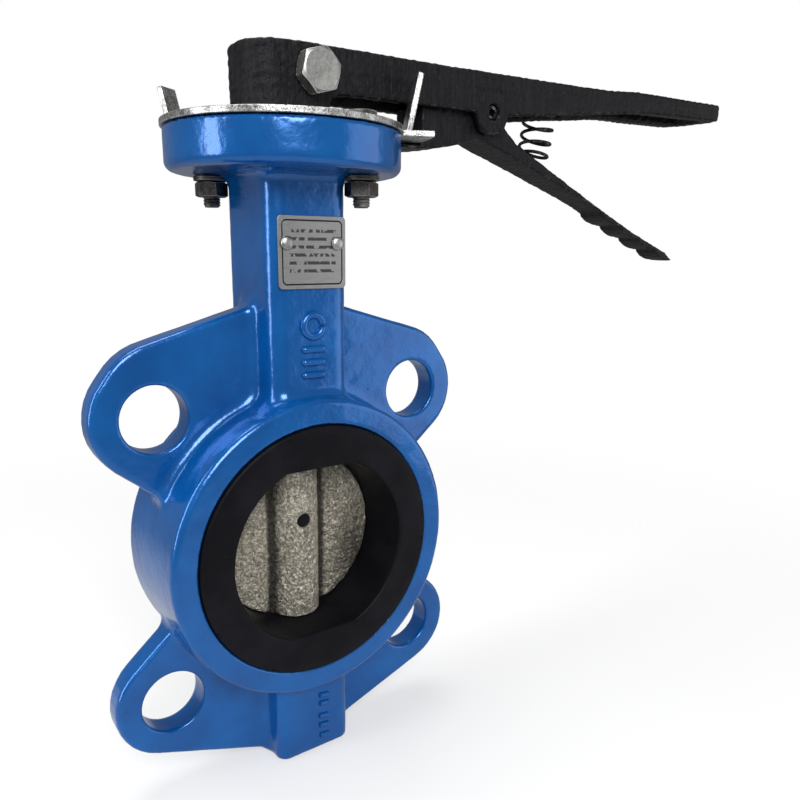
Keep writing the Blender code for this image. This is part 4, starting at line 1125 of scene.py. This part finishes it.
name_metal.feed("Base Color", name_metal.mix(ink, base, colour(0.02, 0.02, 0.02)))
name_metal.feed("Roughness", 0.26 + brushed * 0.2)
name_metal.bump(brushed - ink, 0.00004)
paint(name_metal, nameplate)
print("finishes:", len(bpy.data.materials))

# %% [markdown]
# ### Studio
# A pale floor runs away to a white room, and large soft lamps give the enamel its long
# highlights. The camera stands 27 centimetres from the stem, to the left of the front and
# level with the neck, and looks a little down.

# %% Floor and room
floor_z = CASTING_LOW[2] - 0.4
span = np.linspace(-3000.0, 3000.0, 9)
grid = np.stack(np.meshgrid(span, span, indexing="ij"), -1)
floor_points = np.concatenate([grid, np.full((9, 9, 1), floor_z)], -1)
floor = surface("floor", floor_points, around=False)
pale = Finish("pale_floor", Roughness=0.9)
cloth = pale.mix(pale.noise(3.0) * 0.1, colour(0.93, 0.93, 0.93), colour(0.9, 0.9, 0.9))
pale.feed("Base Color", cloth)
away = pale.add("ShaderNodeVectorMath", {"operation": "LENGTH"}, {0: pale.place}, "Value")
pale.feed("Alpha", 0.55 * (1.0 - away.step(0.1, 0.55)))
paint(pale, floor)

world = bpy.data.worlds.new("room")
world.use_nodes = True
bpy.context.scene.world = world
room = world.node_tree
seen = room.nodes.new("ShaderNodeLightPath")
level = room.nodes.new("ShaderNodeMapRange")
level.inputs["To Min"].default_value = 0.24
level.inputs["To Max"].default_value = 1.0
room.links.new(seen.outputs["Is Camera Ray"], level.inputs["Value"])
room.links.new(level.outputs["Result"], room.nodes["Background"].inputs["Strength"])
room.nodes["Background"].inputs["Color"].default_value = colour(1.0, 1.0, 1.0)


# %% Soft lamps, and the pose of anything that looks
def looking(place, back, roll=0.0):
    """A pose at the place whose -Z looks against back, turned by the roll in degrees."""
    right = np.cross([0.0, 0.0, 1.0], back)
    right /= np.linalg.norm(right)
    up = np.cross(back, right)
    c, s = math.cos(math.radians(roll)), math.sin(math.radians(roll))
    right, up = right * c + up * s, up * c - right * s
    pose = np.eye(4)
    pose[:3, 0], pose[:3, 1], pose[:3, 2], pose[:3, 3] = right, up, back, place
    return Matrix(pose.tolist())


def softbox(name, place, towards, width, height, watts):
    """A rectangle of light that faces a point; places in metres."""
    lamp = bpy.data.lights.new(name, "AREA")
    lamp.shape = "RECTANGLE"
    lamp.size, lamp.size_y, lamp.energy = width, height, watts
    made = bpy.data.objects.new(name, lamp)
    bpy.context.scene.collection.objects.link(made)
    back = np.array(place) - np.array(towards)
    made.matrix_world = looking(place, back / np.linalg.norm(back))
    return made


middle = (0.05, 0.0, 0.05)
softbox("key", (-0.3, -0.85, 0.6), middle, 0.5, 0.5, 9.0)
softbox("left", (-1.0, 0.1, 0.35), middle, 0.3, 0.9, 5.5)
softbox("fill", (0.9, -0.7, 0.1), middle, 0.8, 0.8, 2.5)
softbox("top", (0.0, 0.2, 1.0), middle, 0.9, 0.5, 6.0)

# %% Camera
azimuth, elevation, roll = math.radians(-36.02), math.radians(13.98), 0.646
camera = bpy.data.cameras.new("camera")
camera.lens = 33.51
camera.shift_x, camera.shift_y = 0.0090, 0.0395
camera.clip_start, camera.clip_end = 0.01, 20.0
eye = bpy.data.objects.new("camera", camera)
bpy.context.scene.collection.objects.link(eye)
level_out = math.cos(elevation)
back = np.array(
    [math.sin(azimuth) * level_out, -math.cos(azimuth) * level_out, math.sin(elevation)]
)
eye.matrix_world = looking((-0.1265, -0.2381, 0.1064), back, roll)
bpy.context.scene.camera = eye
bpy.context.scene.view_settings.view_transform = "Standard"
